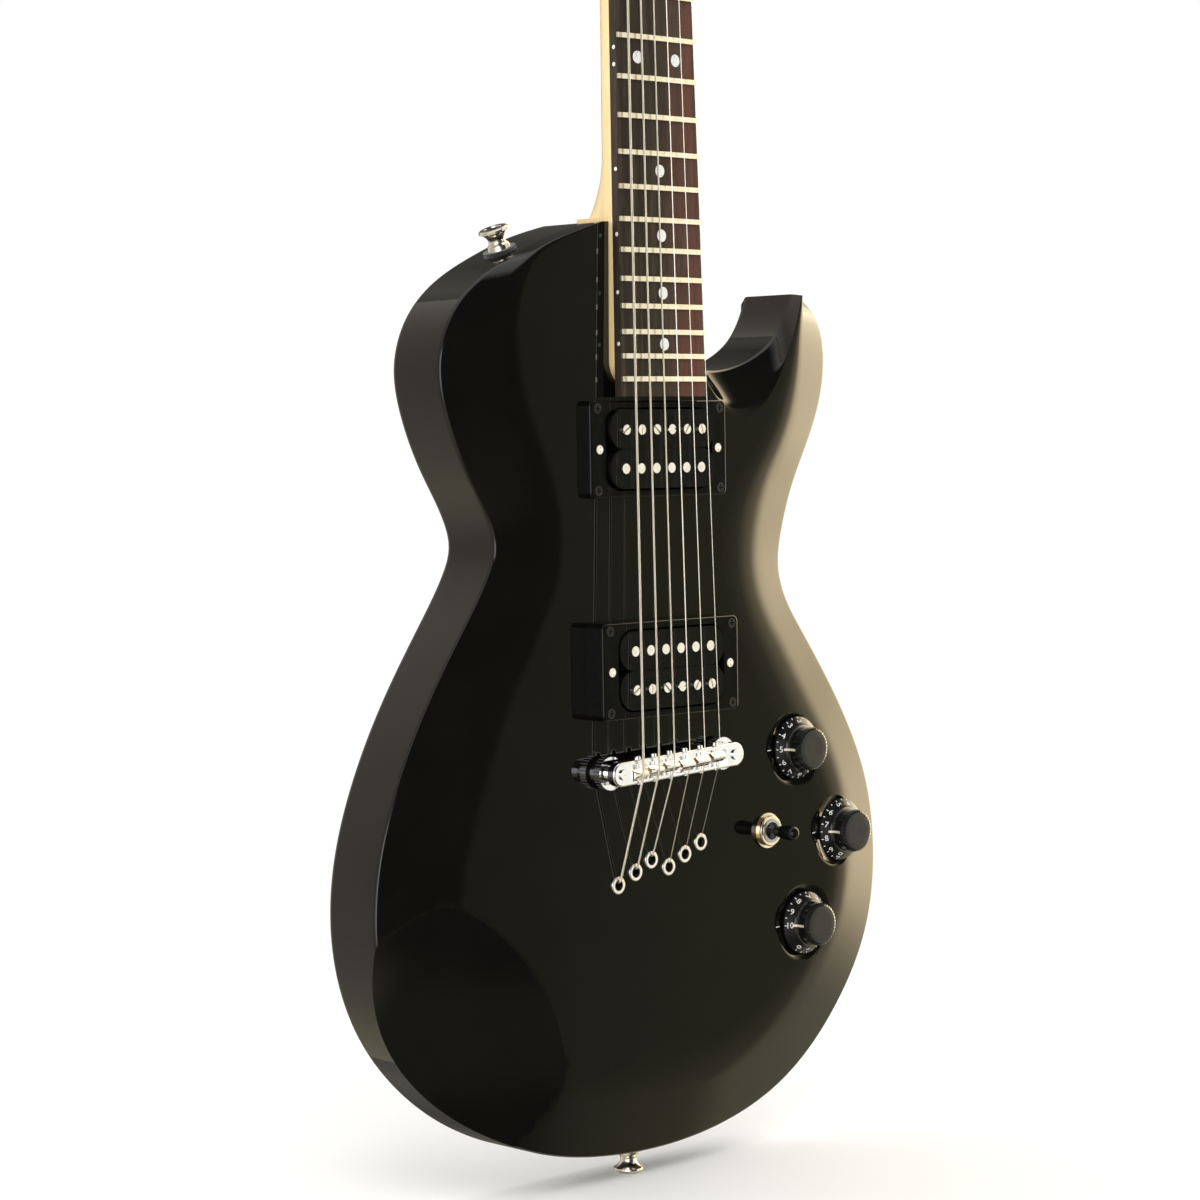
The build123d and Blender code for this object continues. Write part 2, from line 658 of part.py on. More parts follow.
# ---------------------------------------------------------------- bridge
# The bridge's own axes: u along it, v across it, origin midway between the posts.
SLANT = math.atan2(BRIDGE_POST_R[1] - BRIDGE_POST_L[1], BRIDGE_POST_R[0] - BRIDGE_POST_L[0])
BRIDGE_O = Vector(
    (BRIDGE_POST_L[0] + BRIDGE_POST_R[0]) / 2, 0, (BRIDGE_POST_L[1] + BRIDGE_POST_R[1]) / 2
)
BRIDGE_U = Vector(math.cos(SLANT), 0, math.sin(SLANT))
BRIDGE_V = Vector(-math.sin(SLANT), 0, math.cos(SLANT))
BRIDGE_POSTS = pair(0, math.dist(BRIDGE_POST_L, BRIDGE_POST_R))
SADDLE_V = [-1.2, -0.6, 0.0, -0.8, -0.2, 0.5]  # intonation offsets
SADDLE_W = 8.6
SADDLE_SCREW_Y = -13.9
SADDLE_HOLE_R = 0.95


def bridge_plane(y):
    """Plane facing the front at depth y, with sketch axes u and v."""
    return Plane(origin=BRIDGE_O + Vector(0, y, 0), x_dir=BRIDGE_U, z_dir=(0, -1, 0))


def saddle_uv(i):
    """Saddle centre in the bridge's own axes, under string i."""
    v = SADDLE_V[i]
    return (BRIDGE_X[i] - BRIDGE_O.X + math.sin(SLANT) * v) / math.cos(SLANT), v


def saddle_pt(i):
    """Centre of string i over its saddle."""
    u, v = saddle_uv(i)
    return BRIDGE_O + BRIDGE_U * u + BRIDGE_V * v + Vector(0, STRING_Y, 0)


def saddle_screw_plane(u, v):
    """Plane across an intonation screw's axis, facing along v."""
    origin = BRIDGE_O + BRIDGE_U * u + Vector(0, SADDLE_SCREW_Y, 0) + BRIDGE_V * v
    return Plane(origin=origin, x_dir=BRIDGE_U, z_dir=BRIDGE_V)


# start y, end y, radius, bore
STUD_STEPS = [
    (18, 0, BUSHING_R, 2.6),  # bushing in the body
    (0, -2.6, 6.5, 2.6),  # bushing flange
    (16, -7.0, 2.5, None),  # stud
    (-7.0, -10.5, 4.0, None),  # collar under the bridge
    (-10.5, -16.1, 2.5, None),  # slotted end
]
with BuildPart() as bridge_studs:
    for start, end, radius, bore in STUD_STEPS:
        with BuildSketch(bridge_plane(start)):
            circles(BRIDGE_POSTS, radius, bore)
        extrude(amount=start - end)
    with BuildSketch(bridge_plane(-15.2)):
        with Locations(*BRIDGE_POSTS):
            Rectangle(6, 0.9)
    extrude(amount=3, mode=Mode.SUBTRACT)
save(bridge_studs, "bridge_studs")

with BuildPart() as bridge_thumbwheels:
    for centre in BRIDGE_POSTS:
        with BuildSketch(bridge_plane(-2.7)):
            with Locations(centre):
                Circle(8.0)
                Circle(2.55, mode=Mode.SUBTRACT)
                with PolarLocations(8.15, 30):
                    Circle(0.4, mode=Mode.SUBTRACT)
        extrude(amount=4.2)
save(bridge_thumbwheels, "bridge_thumbwheels")

with BuildPart() as bridge_base:
    with BuildSketch(bridge_plane(-10.6)):
        SlotOverall(88, 11.6)
    extrude(amount=4.5)
    fillet(bridge_base.faces().sort_by(Axis.Y)[0].edges(), 1.0)
    # saddle trough, stud holes, intonation screw holes
    with BuildSketch(bridge_plane(-12.4)):
        Rectangle(63.5, 8.0)
    extrude(amount=6, mode=Mode.SUBTRACT)
    with BuildSketch(bridge_plane(0)):
        circles(BRIDGE_POSTS, 2.6)
    extrude(amount=20, mode=Mode.SUBTRACT)
    for i in range(6):
        u, _ = saddle_uv(i)
        with BuildSketch(saddle_screw_plane(u, -8)):
            Circle(SADDLE_HOLE_R)
        extrude(amount=16, mode=Mode.SUBTRACT)
save(bridge_base, "bridge_base")

with BuildPart() as bridge_saddles:
    for i in range(6):
        u, v = saddle_uv(i)
        side_o = BRIDGE_O + BRIDGE_U * (u - SADDLE_W / 2)
        crest = -(STRING_Y + STRING_R[i] + 0.12)
        # profile across the bridge: sketch x is v, sketch y points to the front
        with BuildSketch(Plane(origin=side_o, x_dir=BRIDGE_V, z_dir=BRIDGE_U)):
            with BuildLine():
                Polyline(
                    (v - 2.6, 12.45), (v + 2.6, 12.45), (v + 2.6, 14.8),
                    (v + 0.5, crest), (v - 0.5, crest), (v - 2.6, 14.8),
                    close=True,
                )
            make_face()
        extrude(amount=SADDLE_W)
        with BuildSketch(saddle_screw_plane(u, -8)):
            Circle(SADDLE_HOLE_R)
        extrude(amount=16, mode=Mode.SUBTRACT)
save(bridge_saddles, "bridge_saddles")

with BuildPart() as intonation_screws:
    for i in range(6):
        u, _ = saddle_uv(i)
        # shank, head and slot
        with BuildSketch(saddle_screw_plane(u, -6.0)):
            Circle(0.9)
        extrude(amount=12.0)
        with BuildSketch(saddle_screw_plane(u, 5.85)):
            Circle(1.5)
        extrude(amount=1.5)
        with BuildSketch(saddle_screw_plane(u, 6.8)):
            Rectangle(4, 0.5)
        extrude(amount=2, mode=Mode.SUBTRACT)
save(intonation_screws, "intonation_screws")

# ---------------------------------------------------------------- ferrules and strings
BALL_W = 2.6

# start y, end y, radius, bore: barrel, then flange
with BuildPart() as top_ferrules:
    for start, end, radius, bore in ((6, 0, 3.4, 2.6), (0, -0.9, 4.3, 2.6)):
        with BuildSketch(at_y(start)):
            circles(FERRULES, radius, bore)
        extrude(amount=start - end)
    front_faces = top_ferrules.faces().filter_by(Plane.XZ).sort_by(Axis.Y)[:6]
    fillet(front_faces.edges().group_by(SortBy.RADIUS)[-1], 0.5)
save(top_ferrules, "top_ferrules")

with BuildPart() as rear_ferrules:
    for start, length, radius, bore in ((BODY_T - 9, 8.5, 3.6, 1.3), (BODY_T - 1.0, 0.95, 4.6, 2.3)):
        with BuildSketch(at_y(start)):
            circles(FERRULES, radius, bore)
        extrude(amount=-length)
    # pocket for the ball end
    with BuildSketch(at_y(BODY_T - 6)):
        circles(FERRULES, 2.3)
    extrude(amount=-8, mode=Mode.SUBTRACT)
save(rear_ferrules, "rear_ferrules")

with BuildPart() as string_ball_ends:
    for x, z in FERRULES:
        ball_o = (x - BALL_W / 2, BODY_T - 4.1, z)
        with BuildSketch(Plane(origin=ball_o, x_dir=(0, 1, 0), z_dir=(1, 0, 0))):
            Circle(1.75)
            Circle(0.8, mode=Mode.SUBTRACT)
        extrude(amount=BALL_W)
save(string_ball_ends, "string_ball_ends")


def string_points(i):
    """Path of string i from its ball end to its tuner post."""
    x, z = FERRULES[i]
    # the string leans on the rim of its ferrule on the way to the saddle
    away = saddle_pt(i) - Vector(x, STRING_Y, z)
    lip = Vector(x, -(1.0 + STRING_R[i]), z) + away.normalized() * (2.35 - STRING_R[i])
    return [
        Vector(x, BODY_T - 6.3, z),
        Vector(x, 7.0, z),
        lip,
        saddle_pt(i),
        nut_pt(i),
        string_end(i),
    ]


for name, group in (("wound_strings", [0, 1, 2]), ("plain_strings", [3, 4, 5])):
    with BuildPart() as strings:
        for i in group:
            points = string_points(i)
            with BuildLine() as path:
                FilletPolyline(*points, radius=1.6)
            with BuildSketch(Plane(origin=points[0], z_dir=(0, -1, 0))):
                Circle(STRING_R[i])
            sweep(path=path.wires()[0])
    save(strings, name)

# ---------------------------------------------------------------- knobs and pots
POT_Y = 12.0  # front of the pot housings
POT_BACK_Y = 22.5
KNOB_BORE_R = 2.98
SHAFT_R = 2.92
SHAFT_BACK_Y = 21

for name, (x, z, _) in KNOBS.items():
    with BuildPart() as knob:
        with BuildSketch(profile_plane(x, z)):
            with BuildLine():
                # skirt, waist, rounded top, then the bore and the hollow underside
                Polyline((7.6, 0.8), (15.6, 0.8), (15.6, -0.4))
                Line((15.6, -0.4), (12.2, -3.0))
                Spline((12.2, -3.0), (10.7, -4.6), (10.4, -6.6), (10.8, -9.8))
                Polyline(
                    (10.8, -9.8), (10.4, -11.3), (9.4, -11.8), (0, -11.8), (0, -10.0),
                    (KNOB_BORE_R, -10.0), (KNOB_BORE_R, -4.0), (7.6, -4.0), (7.6, 0.8),
                )
            make_face()
        revolve(axis=Axis((x, 0, z), (0, 1, 0)))
        # knurled grip
        with BuildSketch(at_y(-4.8)):
            with Locations((x, z)):
                with PolarLocations(11.25, 36):
                    Circle(0.42)
        extrude(amount=6, mode=Mode.SUBTRACT)
    save(knob, name)

    with BuildPart() as shaft:
        with BuildSketch(at_y(SHAFT_BACK_Y)):
            circles([(x, z)], SHAFT_R)
        extrude(amount=SHAFT_BACK_Y + 9.8)
    save(shaft, name.replace("knob_", "pot_shaft_"))

with BuildPart() as pot_housings:
    for x, z, dish in KNOBS.values():
        # can, threaded bush, row of lugs, shaft bore
        with BuildSketch(at_y(POT_BACK_Y)):
            circles([(x, z)], 12)
        extrude(amount=POT_BACK_Y - POT_Y)
        with BuildSketch(at_y(POT_Y)):
            circles([(x, z)], 3.5)
        extrude(amount=POT_Y - dish + 2.8)
        with BuildSketch(at_y(POT_BACK_Y)):
            with Locations((x, z - 14)):
                Rectangle(15, 7)
        extrude(amount=1.6)
        with BuildSketch(at_y(SHAFT_BACK_Y + 0.2)):
            circles([(x, z)], 2.97)
        extrude(amount=30, mode=Mode.SUBTRACT)
save(pot_housings, "pot_housings")

WASHER_R, WASHER_T = 6.4, 0.8
POT_NUT_BORE_R = 3.55
with BuildPart() as pot_nuts:
    for x, z, dish in KNOBS.values():
        # the washer's edge rests on the dished surface
        sphere_r = dish_sphere_radius(dish)
        seat_y = dish - (sphere_r - math.sqrt(sphere_r**2 - WASHER_R**2)) - 0.01
        with BuildSketch(at_y(seat_y)):
            circles([(x, z)], WASHER_R, POT_NUT_BORE_R)
        extrude(amount=WASHER_T)
        with BuildSketch(at_y(seat_y - WASHER_T)):
            with Locations((x, z)):
                RegularPolygon(5.6, 6)
                Circle(POT_NUT_BORE_R, mode=Mode.SUBTRACT)
        extrude(amount=1.7)
save(pot_nuts, "pot_nuts")

# ---------------------------------------------------------------- switch
SWITCH_X, SWITCH_Z = SWITCH
PIVOT_Y = 3.0
BEZEL_BORE_R = 5.95
TIP_BORE_R = 1.15

with BuildPart() as switch_frame:
    with BuildSketch(at_y(30)):
        with Locations(SWITCH):
            RectangleRounded(16, 22, 2)
    extrude(amount=18)
    with BuildSketch(at_y(12)):
        circles([SWITCH], 5.9)
    extrude(amount=16)
    with BuildSketch(at_y(26)):
        circles([SWITCH], 4.4)
    extrude(amount=40, mode=Mode.SUBTRACT)
    # four lugs on the back
    with BuildSketch(at_y(33)):
        with Locations(SWITCH):
            with GridLocations(0, 5, 1, 4):
                Rectangle(6, 1)
    extrude(amount=3)
save(switch_frame, "switch_frame")

with BuildPart() as switch_bezel:
    for start, end, radius in ((0, -1.2, 8.8), (-1.2, -3.6, 7.6)):
        with BuildSketch(at_y(start)):
            circles([SWITCH], radius, BEZEL_BORE_R)
        extrude(amount=start - end)
    fillet(switch_bezel.faces().sort_by(Axis.Y)[0].outer_wire().edges(), 0.6)
save(switch_bezel, "switch_bezel")

with BuildPart() as switch_lever:
    with BuildSketch(at_y(12)):
        circles([SWITCH], 1.1)
    extrude(amount=24)
    with Locations((SWITCH_X, PIVOT_Y, SWITCH_Z)):
        Sphere(3.0)
    # pivot pin along the tilt axis
    with BuildSketch(Plane(origin=(SWITCH_X - 4.2, PIVOT_Y, SWITCH_Z), z_dir=(1, 0, 0))):
        Circle(1.0)
    extrude(amount=8.4)
save(switch_lever, "switch_lever")

with BuildPart() as switch_tip:
    with BuildSketch(profile_plane(SWITCH_X, SWITCH_Z)):
        with BuildLine():
            Polyline((TIP_BORE_R, -6.8), (2.5, -6.8))
            Spline((2.5, -6.8), (3.0, -10), (3.6, -15), (3.7, -17.4), (2.7, -19.9), (0, -20.8))
            Polyline((0, -20.8), (0, -12.1), (TIP_BORE_R, -12.1), (TIP_BORE_R, -6.8))
        make_face()
    revolve(axis=Axis((SWITCH_X, 0, SWITCH_Z), (0, 1, 0)))
save(switch_tip, "switch_tip")

# ---------------------------------------------------------------- rear cover
with BuildPart() as control_cover:
    with BuildSketch(at_y(BODY_T - 2.4)):
        with BuildLine():
            cavity_outline()
        make_face()
        offset(amount=5.85, mode=Mode.ADD)
        with Locations(*COVER_SCREWS):
            Circle(1.5, mode=Mode.SUBTRACT)
    extrude(amount=-2.35)
    with BuildSketch(at_y(COVER_SEAT_Y)):
        circles(COVER_SCREWS, 2.7)
    extrude(amount=-3, mode=Mode.SUBTRACT)
save(control_cover, "control_cover")

# ---------------------------------------------------------------- output jack
JACK_PLATE_T = 1.8
JACK_BORE_R = 3.25
JACK_THREAD_R = 4.7

with BuildPart() as jack_plate:
    with BuildSketch(jack_plane(0)):
        RectangleRounded(23.8, 37.8, 4.9)
        Circle(4.75, mode=Mode.SUBTRACT)
        with GridLocations(*JACK_SCREW_GRID):
            Circle(1.5, mode=Mode.SUBTRACT)
    extrude(amount=JACK_PLATE_T)
    large_faces = jack_plate.faces().sort_by(SortBy.AREA)[-2:]
    fillet(large_faces.sort_by(Axis(JACK_SEAT, JACK_N))[-1].outer_wire().edges(), 0.6)
save(jack_plate, "jack_plate")

with BuildPart() as output_jack:
    # sleeve behind the plate, threaded barrel through it
    for start, end, radius in ((-6.0, 0, 8.0), (0, 5.4, JACK_THREAD_R)):
        with BuildSketch(Plane(origin=JACK_SEAT + JACK_N * start, z_dir=JACK_N)):
            Circle(radius)
            Circle(JACK_BORE_R, mode=Mode.SUBTRACT)
        extrude(amount=end - start)
    # hexagonal nut
    with BuildSketch(Plane(origin=JACK_SEAT + JACK_N * JACK_PLATE_T, z_dir=JACK_N)):
        RegularPolygon(7.0, 6)
        Circle(JACK_THREAD_R, mode=Mode.SUBTRACT)
    extrude(amount=2.2)
    # contact springs behind the sleeve
    for spring_y, length in ((6.2, 21.0), (-6.2, 18.0)):
        with BuildSketch(jack_plane(-6.0 - length)):
            with Locations((spring_y, 0)):
                Rectangle(1.2, 5)
        extrude(amount=length)
save(output_jack, "output_jack")

# ---------------------------------------------------------------- strap buttons
BUTTON_BORE_R = 2.3


def button_base(rim_pt, normal):
    """Centre of the button's underside, on top of its felt."""
    return rim_pt + normal * (FELT_SPACE - SEAT_DEPTH)


with BuildPart() as strap_felts:
    for rim_pt, normal in STRAPS:
        with BuildSketch(Plane(origin=rim_pt - normal * SEAT_DEPTH, z_dir=normal)):
            Circle(8.0)
            Circle(2.6, mode=Mode.SUBTRACT)
        extrude(amount=FELT_SPACE - 0.02)
save(strap_felts, "strap_felts")

with BuildPart() as strap_buttons:
    for rim_pt, normal in STRAPS:
        base = button_base(rim_pt, normal)
        radial = Vector(0, 1, 0)
        # revolved profile: sketch x is radius, sketch y is along the button's axis
        with BuildSketch(Plane(origin=base, x_dir=radial, z_dir=normal.cross(radial) * -1)):
            with BuildLine():
                Polyline((BUTTON_BORE_R, 0), (5.6, 0), (5.2, 2.0))
                Spline((5.2, 2.0), (3.9, 4.0), (4.6, 6.6), (7.2, 8.6))
                Polyline(
                    (7.2, 8.6), (7.2, 9.6), (6.4, 10.2), (4.4, 10.2), (4.0, 8.4),
                    (BUTTON_BORE_R, 7.0), (BUTTON_BORE_R, 0),
                )
            make_face()
        revolve(axis=Axis(base, normal))
save(strap_buttons, "strap_buttons")

# ---------------------------------------------------------------- tuners
GEAR_TEETH = 14
WORM_DY = -7.8  # worm axis below the post, on the headstock face
WORM_H = -18.5
# stations of the button: distance from its inner end, half length, half thickness
BUTTON_STATIONS = [(3.5, 5.0, 3.0), (9.0, 9.0, 3.6), (14.0, 8.0, 3.2)]
HOUSING_BORE_R = 3.05

for i, (post_x, post_y) in enumerate(POSTS):
    outward = -1 if post_x < 0 else 1
    string_r = STRING_R[i]
    with BuildPart() as post:
        with BuildSketch(head_plane(-22.0)):
            circles([(post_x, post_y)], POST_R)
        extrude(amount=22.0 + 15.0)
        # gear
        with BuildSketch(head_plane(-20.5)):
            with Locations((post_x, post_y)):
                Circle(5.0)
                with PolarLocations(5.2, GEAR_TEETH):
                    Circle(0.55, mode=Mode.SUBTRACT)
        extrude(amount=4.0)
        # string windings
        with BuildSketch(head_plane(WIND_H - 3.2 * string_r)):
            circles([(post_x, post_y)], POST_R + 1.6 * string_r, 2.0)
        extrude(amount=6.4 * string_r)
        # string hole
        with BuildSketch(Plane(origin=head_pt(post_x - 5, post_y, 12.0), z_dir=(1, 0, 0))):
            Circle(0.9)
        extrude(amount=10, mode=Mode.SUBTRACT)
    save(post, "tuner_post_%d" % (i + 1))

    def worm_pt(out):
        """Point on the worm's axis, measured outward from the post."""
        return head_pt(post_x + outward * out, post_y + WORM_DY, WORM_H)

    key_dir = (outward, 0, 0)
    with BuildPart() as key:
        # worm shaft across the housing, then the button outside the headstock's edge
        for start, length, radius in ((-5.6, 21.6, 1.7), (-4.6, 9.2, 2.35)):
            with BuildSketch(Plane(origin=worm_pt(start), z_dir=key_dir)):
                Circle(radius)
            extrude(amount=length)
        # worm grooves
        for j in range(5):
            with BuildSketch(Plane(origin=worm_pt(1.8 * j - 4.0), z_dir=key_dir)):
                Circle(2.6)
                Circle(2.0, mode=Mode.SUBTRACT)
            extrude(amount=0.7, mode=Mode.SUBTRACT)
        # button: a flaring collar, then the oval grip
        with BuildSketch(Plane(origin=worm_pt(16.0), z_dir=key_dir)):
            Circle(3.0)
        for stations in (BUTTON_STATIONS[:1], BUTTON_STATIONS):
            for out, half_length, half_thickness in stations:
                with BuildSketch(Plane(origin=worm_pt(16.0 + out), x_dir=HEAD_UP, z_dir=key_dir)):
                    Ellipse(half_length, half_thickness)
            loft()
    save(key, "tuner_key_%d" % (i + 1))

with BuildPart() as tuner_housings:
    for post_x, post_y in POSTS:
        outward = -1 if post_x < 0 else 1
        # hollow box behind the headstock
        with BuildSketch(head_plane(-24.0)):
            with Locations((post_x, post_y - 2.4)):
                RectangleRounded(15, 21, 3)
        extrude(amount=10.0)
        back_face = tuner_housings.faces(Select.LAST).sort_by(Axis(HEAD_O, HEAD_FRONT))[0]
        fillet(back_face.edges(), 1.2)
        with BuildSketch(head_plane(-22.6)):
            with Locations((post_x, post_y - 2.4)):
                Rectangle(12.4, 18.2)
        extrude(amount=7.4, mode=Mode.SUBTRACT)
        # holes for the post and the key's shaft
        with BuildSketch(head_plane(-16.0)):
            circles([(post_x, post_y)], HOUSING_BORE_R)
        extrude(amount=3.0, mode=Mode.SUBTRACT)
        key_hole_o = head_pt(post_x + outward * 5.0, post_y + WORM_DY, WORM_H)
        with BuildSketch(Plane(origin=key_hole_o, z_dir=(outward, 0, 0))):
            Circle(1.76)
        extrude(amount=5.0, mode=Mode.SUBTRACT)
save(tuner_housings, "tuner_housings")

with BuildPart() as tuner_bushings:
    # sleeve, washer, hexagonal nut
    for start, length, radius in ((-10, 10, TUNER_BUSHING_R), (0, 0.8, 7.0)):
        with BuildSketch(head_plane(start)):
            circles(POSTS, radius, HOUSING_BORE_R)
        extrude(amount=length)
    with BuildSketch(head_plane(0.8)):
        with Locations(*POSTS):
            RegularPolygon(6.0, 6)
            Circle(HOUSING_BORE_R, mode=Mode.SUBTRACT)
    extrude(amount=2.0)
save(tuner_bushings, "tuner_bushings")

# ---------------------------------------------------------------- bright screws
# strap screw steps: start above the button's underside, length, radius
STRAP_SCREW_STEPS = [
    (-26, 26 + 7.2, 1.7),  # shank
    (8.45, 1.4, 3.7),  # head
    (7.0, 1.45, 2.1),  # neck under the head
]
with BuildPart() as chrome_screws:
    for rim_pt, normal in STRAPS:
        base = button_base(rim_pt, normal)
        for start, length, radius in STRAP_SCREW_STEPS:
            with BuildSketch(Plane(origin=base + normal * start, z_dir=normal)):
                Circle(radius)
            extrude(amount=length)
        with BuildSketch(Plane(origin=base + normal * 9.2, z_dir=normal)):
            Rectangle(4.6, 0.9)
            Rectangle(0.9, 4.6)
        extrude(amount=3, mode=Mode.SUBTRACT)
    # jack plate: shanks, heads
    for start, length, radius in ((-10, 10 + JACK_PLATE_T, 1.15), (JACK_PLATE_T, 1.2, 2.4)):
        with BuildSketch(jack_plane(start)):
            with GridLocations(*JACK_SCREW_GRID):
                Circle(radius)
        extrude(amount=length)
save(chrome_screws, "chrome_screws")

with BuildPart() as truss_cover_screws:
    for start, length, radius in ((-7, 7 + ROD_COVER_T, 0.85), (ROD_COVER_T, 0.9, 1.7)):
        with BuildSketch(head_plane(start)):
            circles(ROD_COVER_SCREWS, radius)
        extrude(amount=length)
save(truss_cover_screws, "truss_cover_screws")

# ---------------------------------------------------------------- wiring
# x, y, z along each wire, starting at the pots
WIRES = [
    [(98.3, 23.9, -17), (98.3, 28, -18), (95, 32, -26), (84.8, 35.5, -35)],
    [(130.5, 23.9, -61.4), (130.5, 28, -61.4), (112, 30, -66), (100, 24.2, -76)],
    [
        (103, 23.9, -106.2), (101, 27, -106.2), (93, 26.5, -108.6),
        (92.0, 26, -113.2), (96.7, 26, -117.8), (103.1, 26, -124.1),
    ],
]
with BuildPart() as wiring:
    for points in WIRES:
        with BuildLine() as wire:
            Spline(*points)
        with BuildSketch(Plane(origin=points[0], z_dir=wire.line % 0)):
            Circle(0.8)
        sweep(path=wire.wires()[0])
    # tone capacitor
    with BuildSketch(at_y(34)):
        with Locations((112, -92)):
            RectangleRounded(16, 12, 3)
    extrude(amount=6)
save(wiring, "wiring")
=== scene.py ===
"""An electric guitar standing upright: looks, studio and camera.

x runs from the bass side (-x) to the treble side (+x), y from front to back and z up.
The saddle line is near z = 0 and the flat front of the body lies at y = 0. Lengths are
millimetres unless a comment says metres; MM turns them into Blender's metres.
"""
import json
import math

import bmesh
import bpy
import numpy as np
from mathutils import Matrix, Vector


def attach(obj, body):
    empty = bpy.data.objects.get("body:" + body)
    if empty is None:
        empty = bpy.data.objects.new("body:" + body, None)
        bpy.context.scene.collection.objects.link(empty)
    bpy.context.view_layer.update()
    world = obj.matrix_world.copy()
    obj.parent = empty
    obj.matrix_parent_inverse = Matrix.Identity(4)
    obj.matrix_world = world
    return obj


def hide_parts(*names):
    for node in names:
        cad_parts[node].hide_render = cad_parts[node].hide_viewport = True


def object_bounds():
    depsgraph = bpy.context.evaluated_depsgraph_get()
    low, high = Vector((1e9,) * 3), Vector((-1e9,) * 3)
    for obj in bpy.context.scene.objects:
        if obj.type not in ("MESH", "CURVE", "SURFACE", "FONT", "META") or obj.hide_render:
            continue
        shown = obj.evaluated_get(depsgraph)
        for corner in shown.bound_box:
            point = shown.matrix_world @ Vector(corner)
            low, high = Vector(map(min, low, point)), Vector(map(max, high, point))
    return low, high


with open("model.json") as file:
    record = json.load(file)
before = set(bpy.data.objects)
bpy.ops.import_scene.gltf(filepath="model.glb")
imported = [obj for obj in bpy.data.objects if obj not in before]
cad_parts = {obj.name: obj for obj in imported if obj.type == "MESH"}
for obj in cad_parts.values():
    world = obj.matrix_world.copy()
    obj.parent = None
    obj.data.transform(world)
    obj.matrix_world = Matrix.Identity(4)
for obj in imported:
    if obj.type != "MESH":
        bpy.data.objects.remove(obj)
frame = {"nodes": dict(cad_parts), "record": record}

cad_low, cad_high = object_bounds()
NODES = frame["nodes"]
SUBPARTS = frame["record"]["subparts"]
SCENE = bpy.context.scene
MM = 0.001

# ---------------------------------------------------------------- neck and headstock frames
SCALE_LENGTH = 647.7
LEAN = 0.019                     # backward slope of the neck, mm per mm
LEAN_ANGLE = math.atan(LEAN)
HEAD_ANGLE = LEAN_ANGLE + math.radians(13)
NUT_WIDTH = 42.5
BOARD_TAPER = 0.029              # widening per mm away from the nut
BOARD_RADIUS = 350
LAST_FRET_Y = -9.5               # y of the neck's zero height at fret 22

NECK_ORIGIN = Vector((0, LAST_FRET_Y - LEAN * (SCALE_LENGTH * 2 ** (-22 / 12)), 0))
NECK_ALONG = Vector((0, math.sin(LEAN_ANGLE), math.cos(LEAN_ANGLE)))
NECK_NORMAL = Vector((0, -math.cos(LEAN_ANGLE), math.sin(LEAN_ANGLE)))
HEAD_NORMAL = Vector((0, -math.cos(HEAD_ANGLE), math.sin(HEAD_ANGLE)))
HEAD_ORIGIN = NECK_ORIGIN + NECK_ALONG * (SCALE_LENGTH + 5.0) - NECK_NORMAL * 5.5


def neck_point(x, along, height):
    """Point in metres, `along` from the saddle and `height` off the board."""
    return (NECK_ORIGIN + Vector((x, 0, 0)) + NECK_ALONG * along + NECK_NORMAL * height) * MM


def half_width(along):
    return (NUT_WIDTH + (SCALE_LENGTH - along) * BOARD_TAPER) / 2


# name, x, z, number at the index tick on the bass side, depth of the dish round it
KNOBS = [
    ("knob_volume_neck", 98.3, -3.0, 5.0, 3.5),
    ("knob_volume_bridge", 130.5, -47.4, 7.5, 5.0),
    ("knob_tone", 103.0, -92.2, 10.0, 3.5),
]


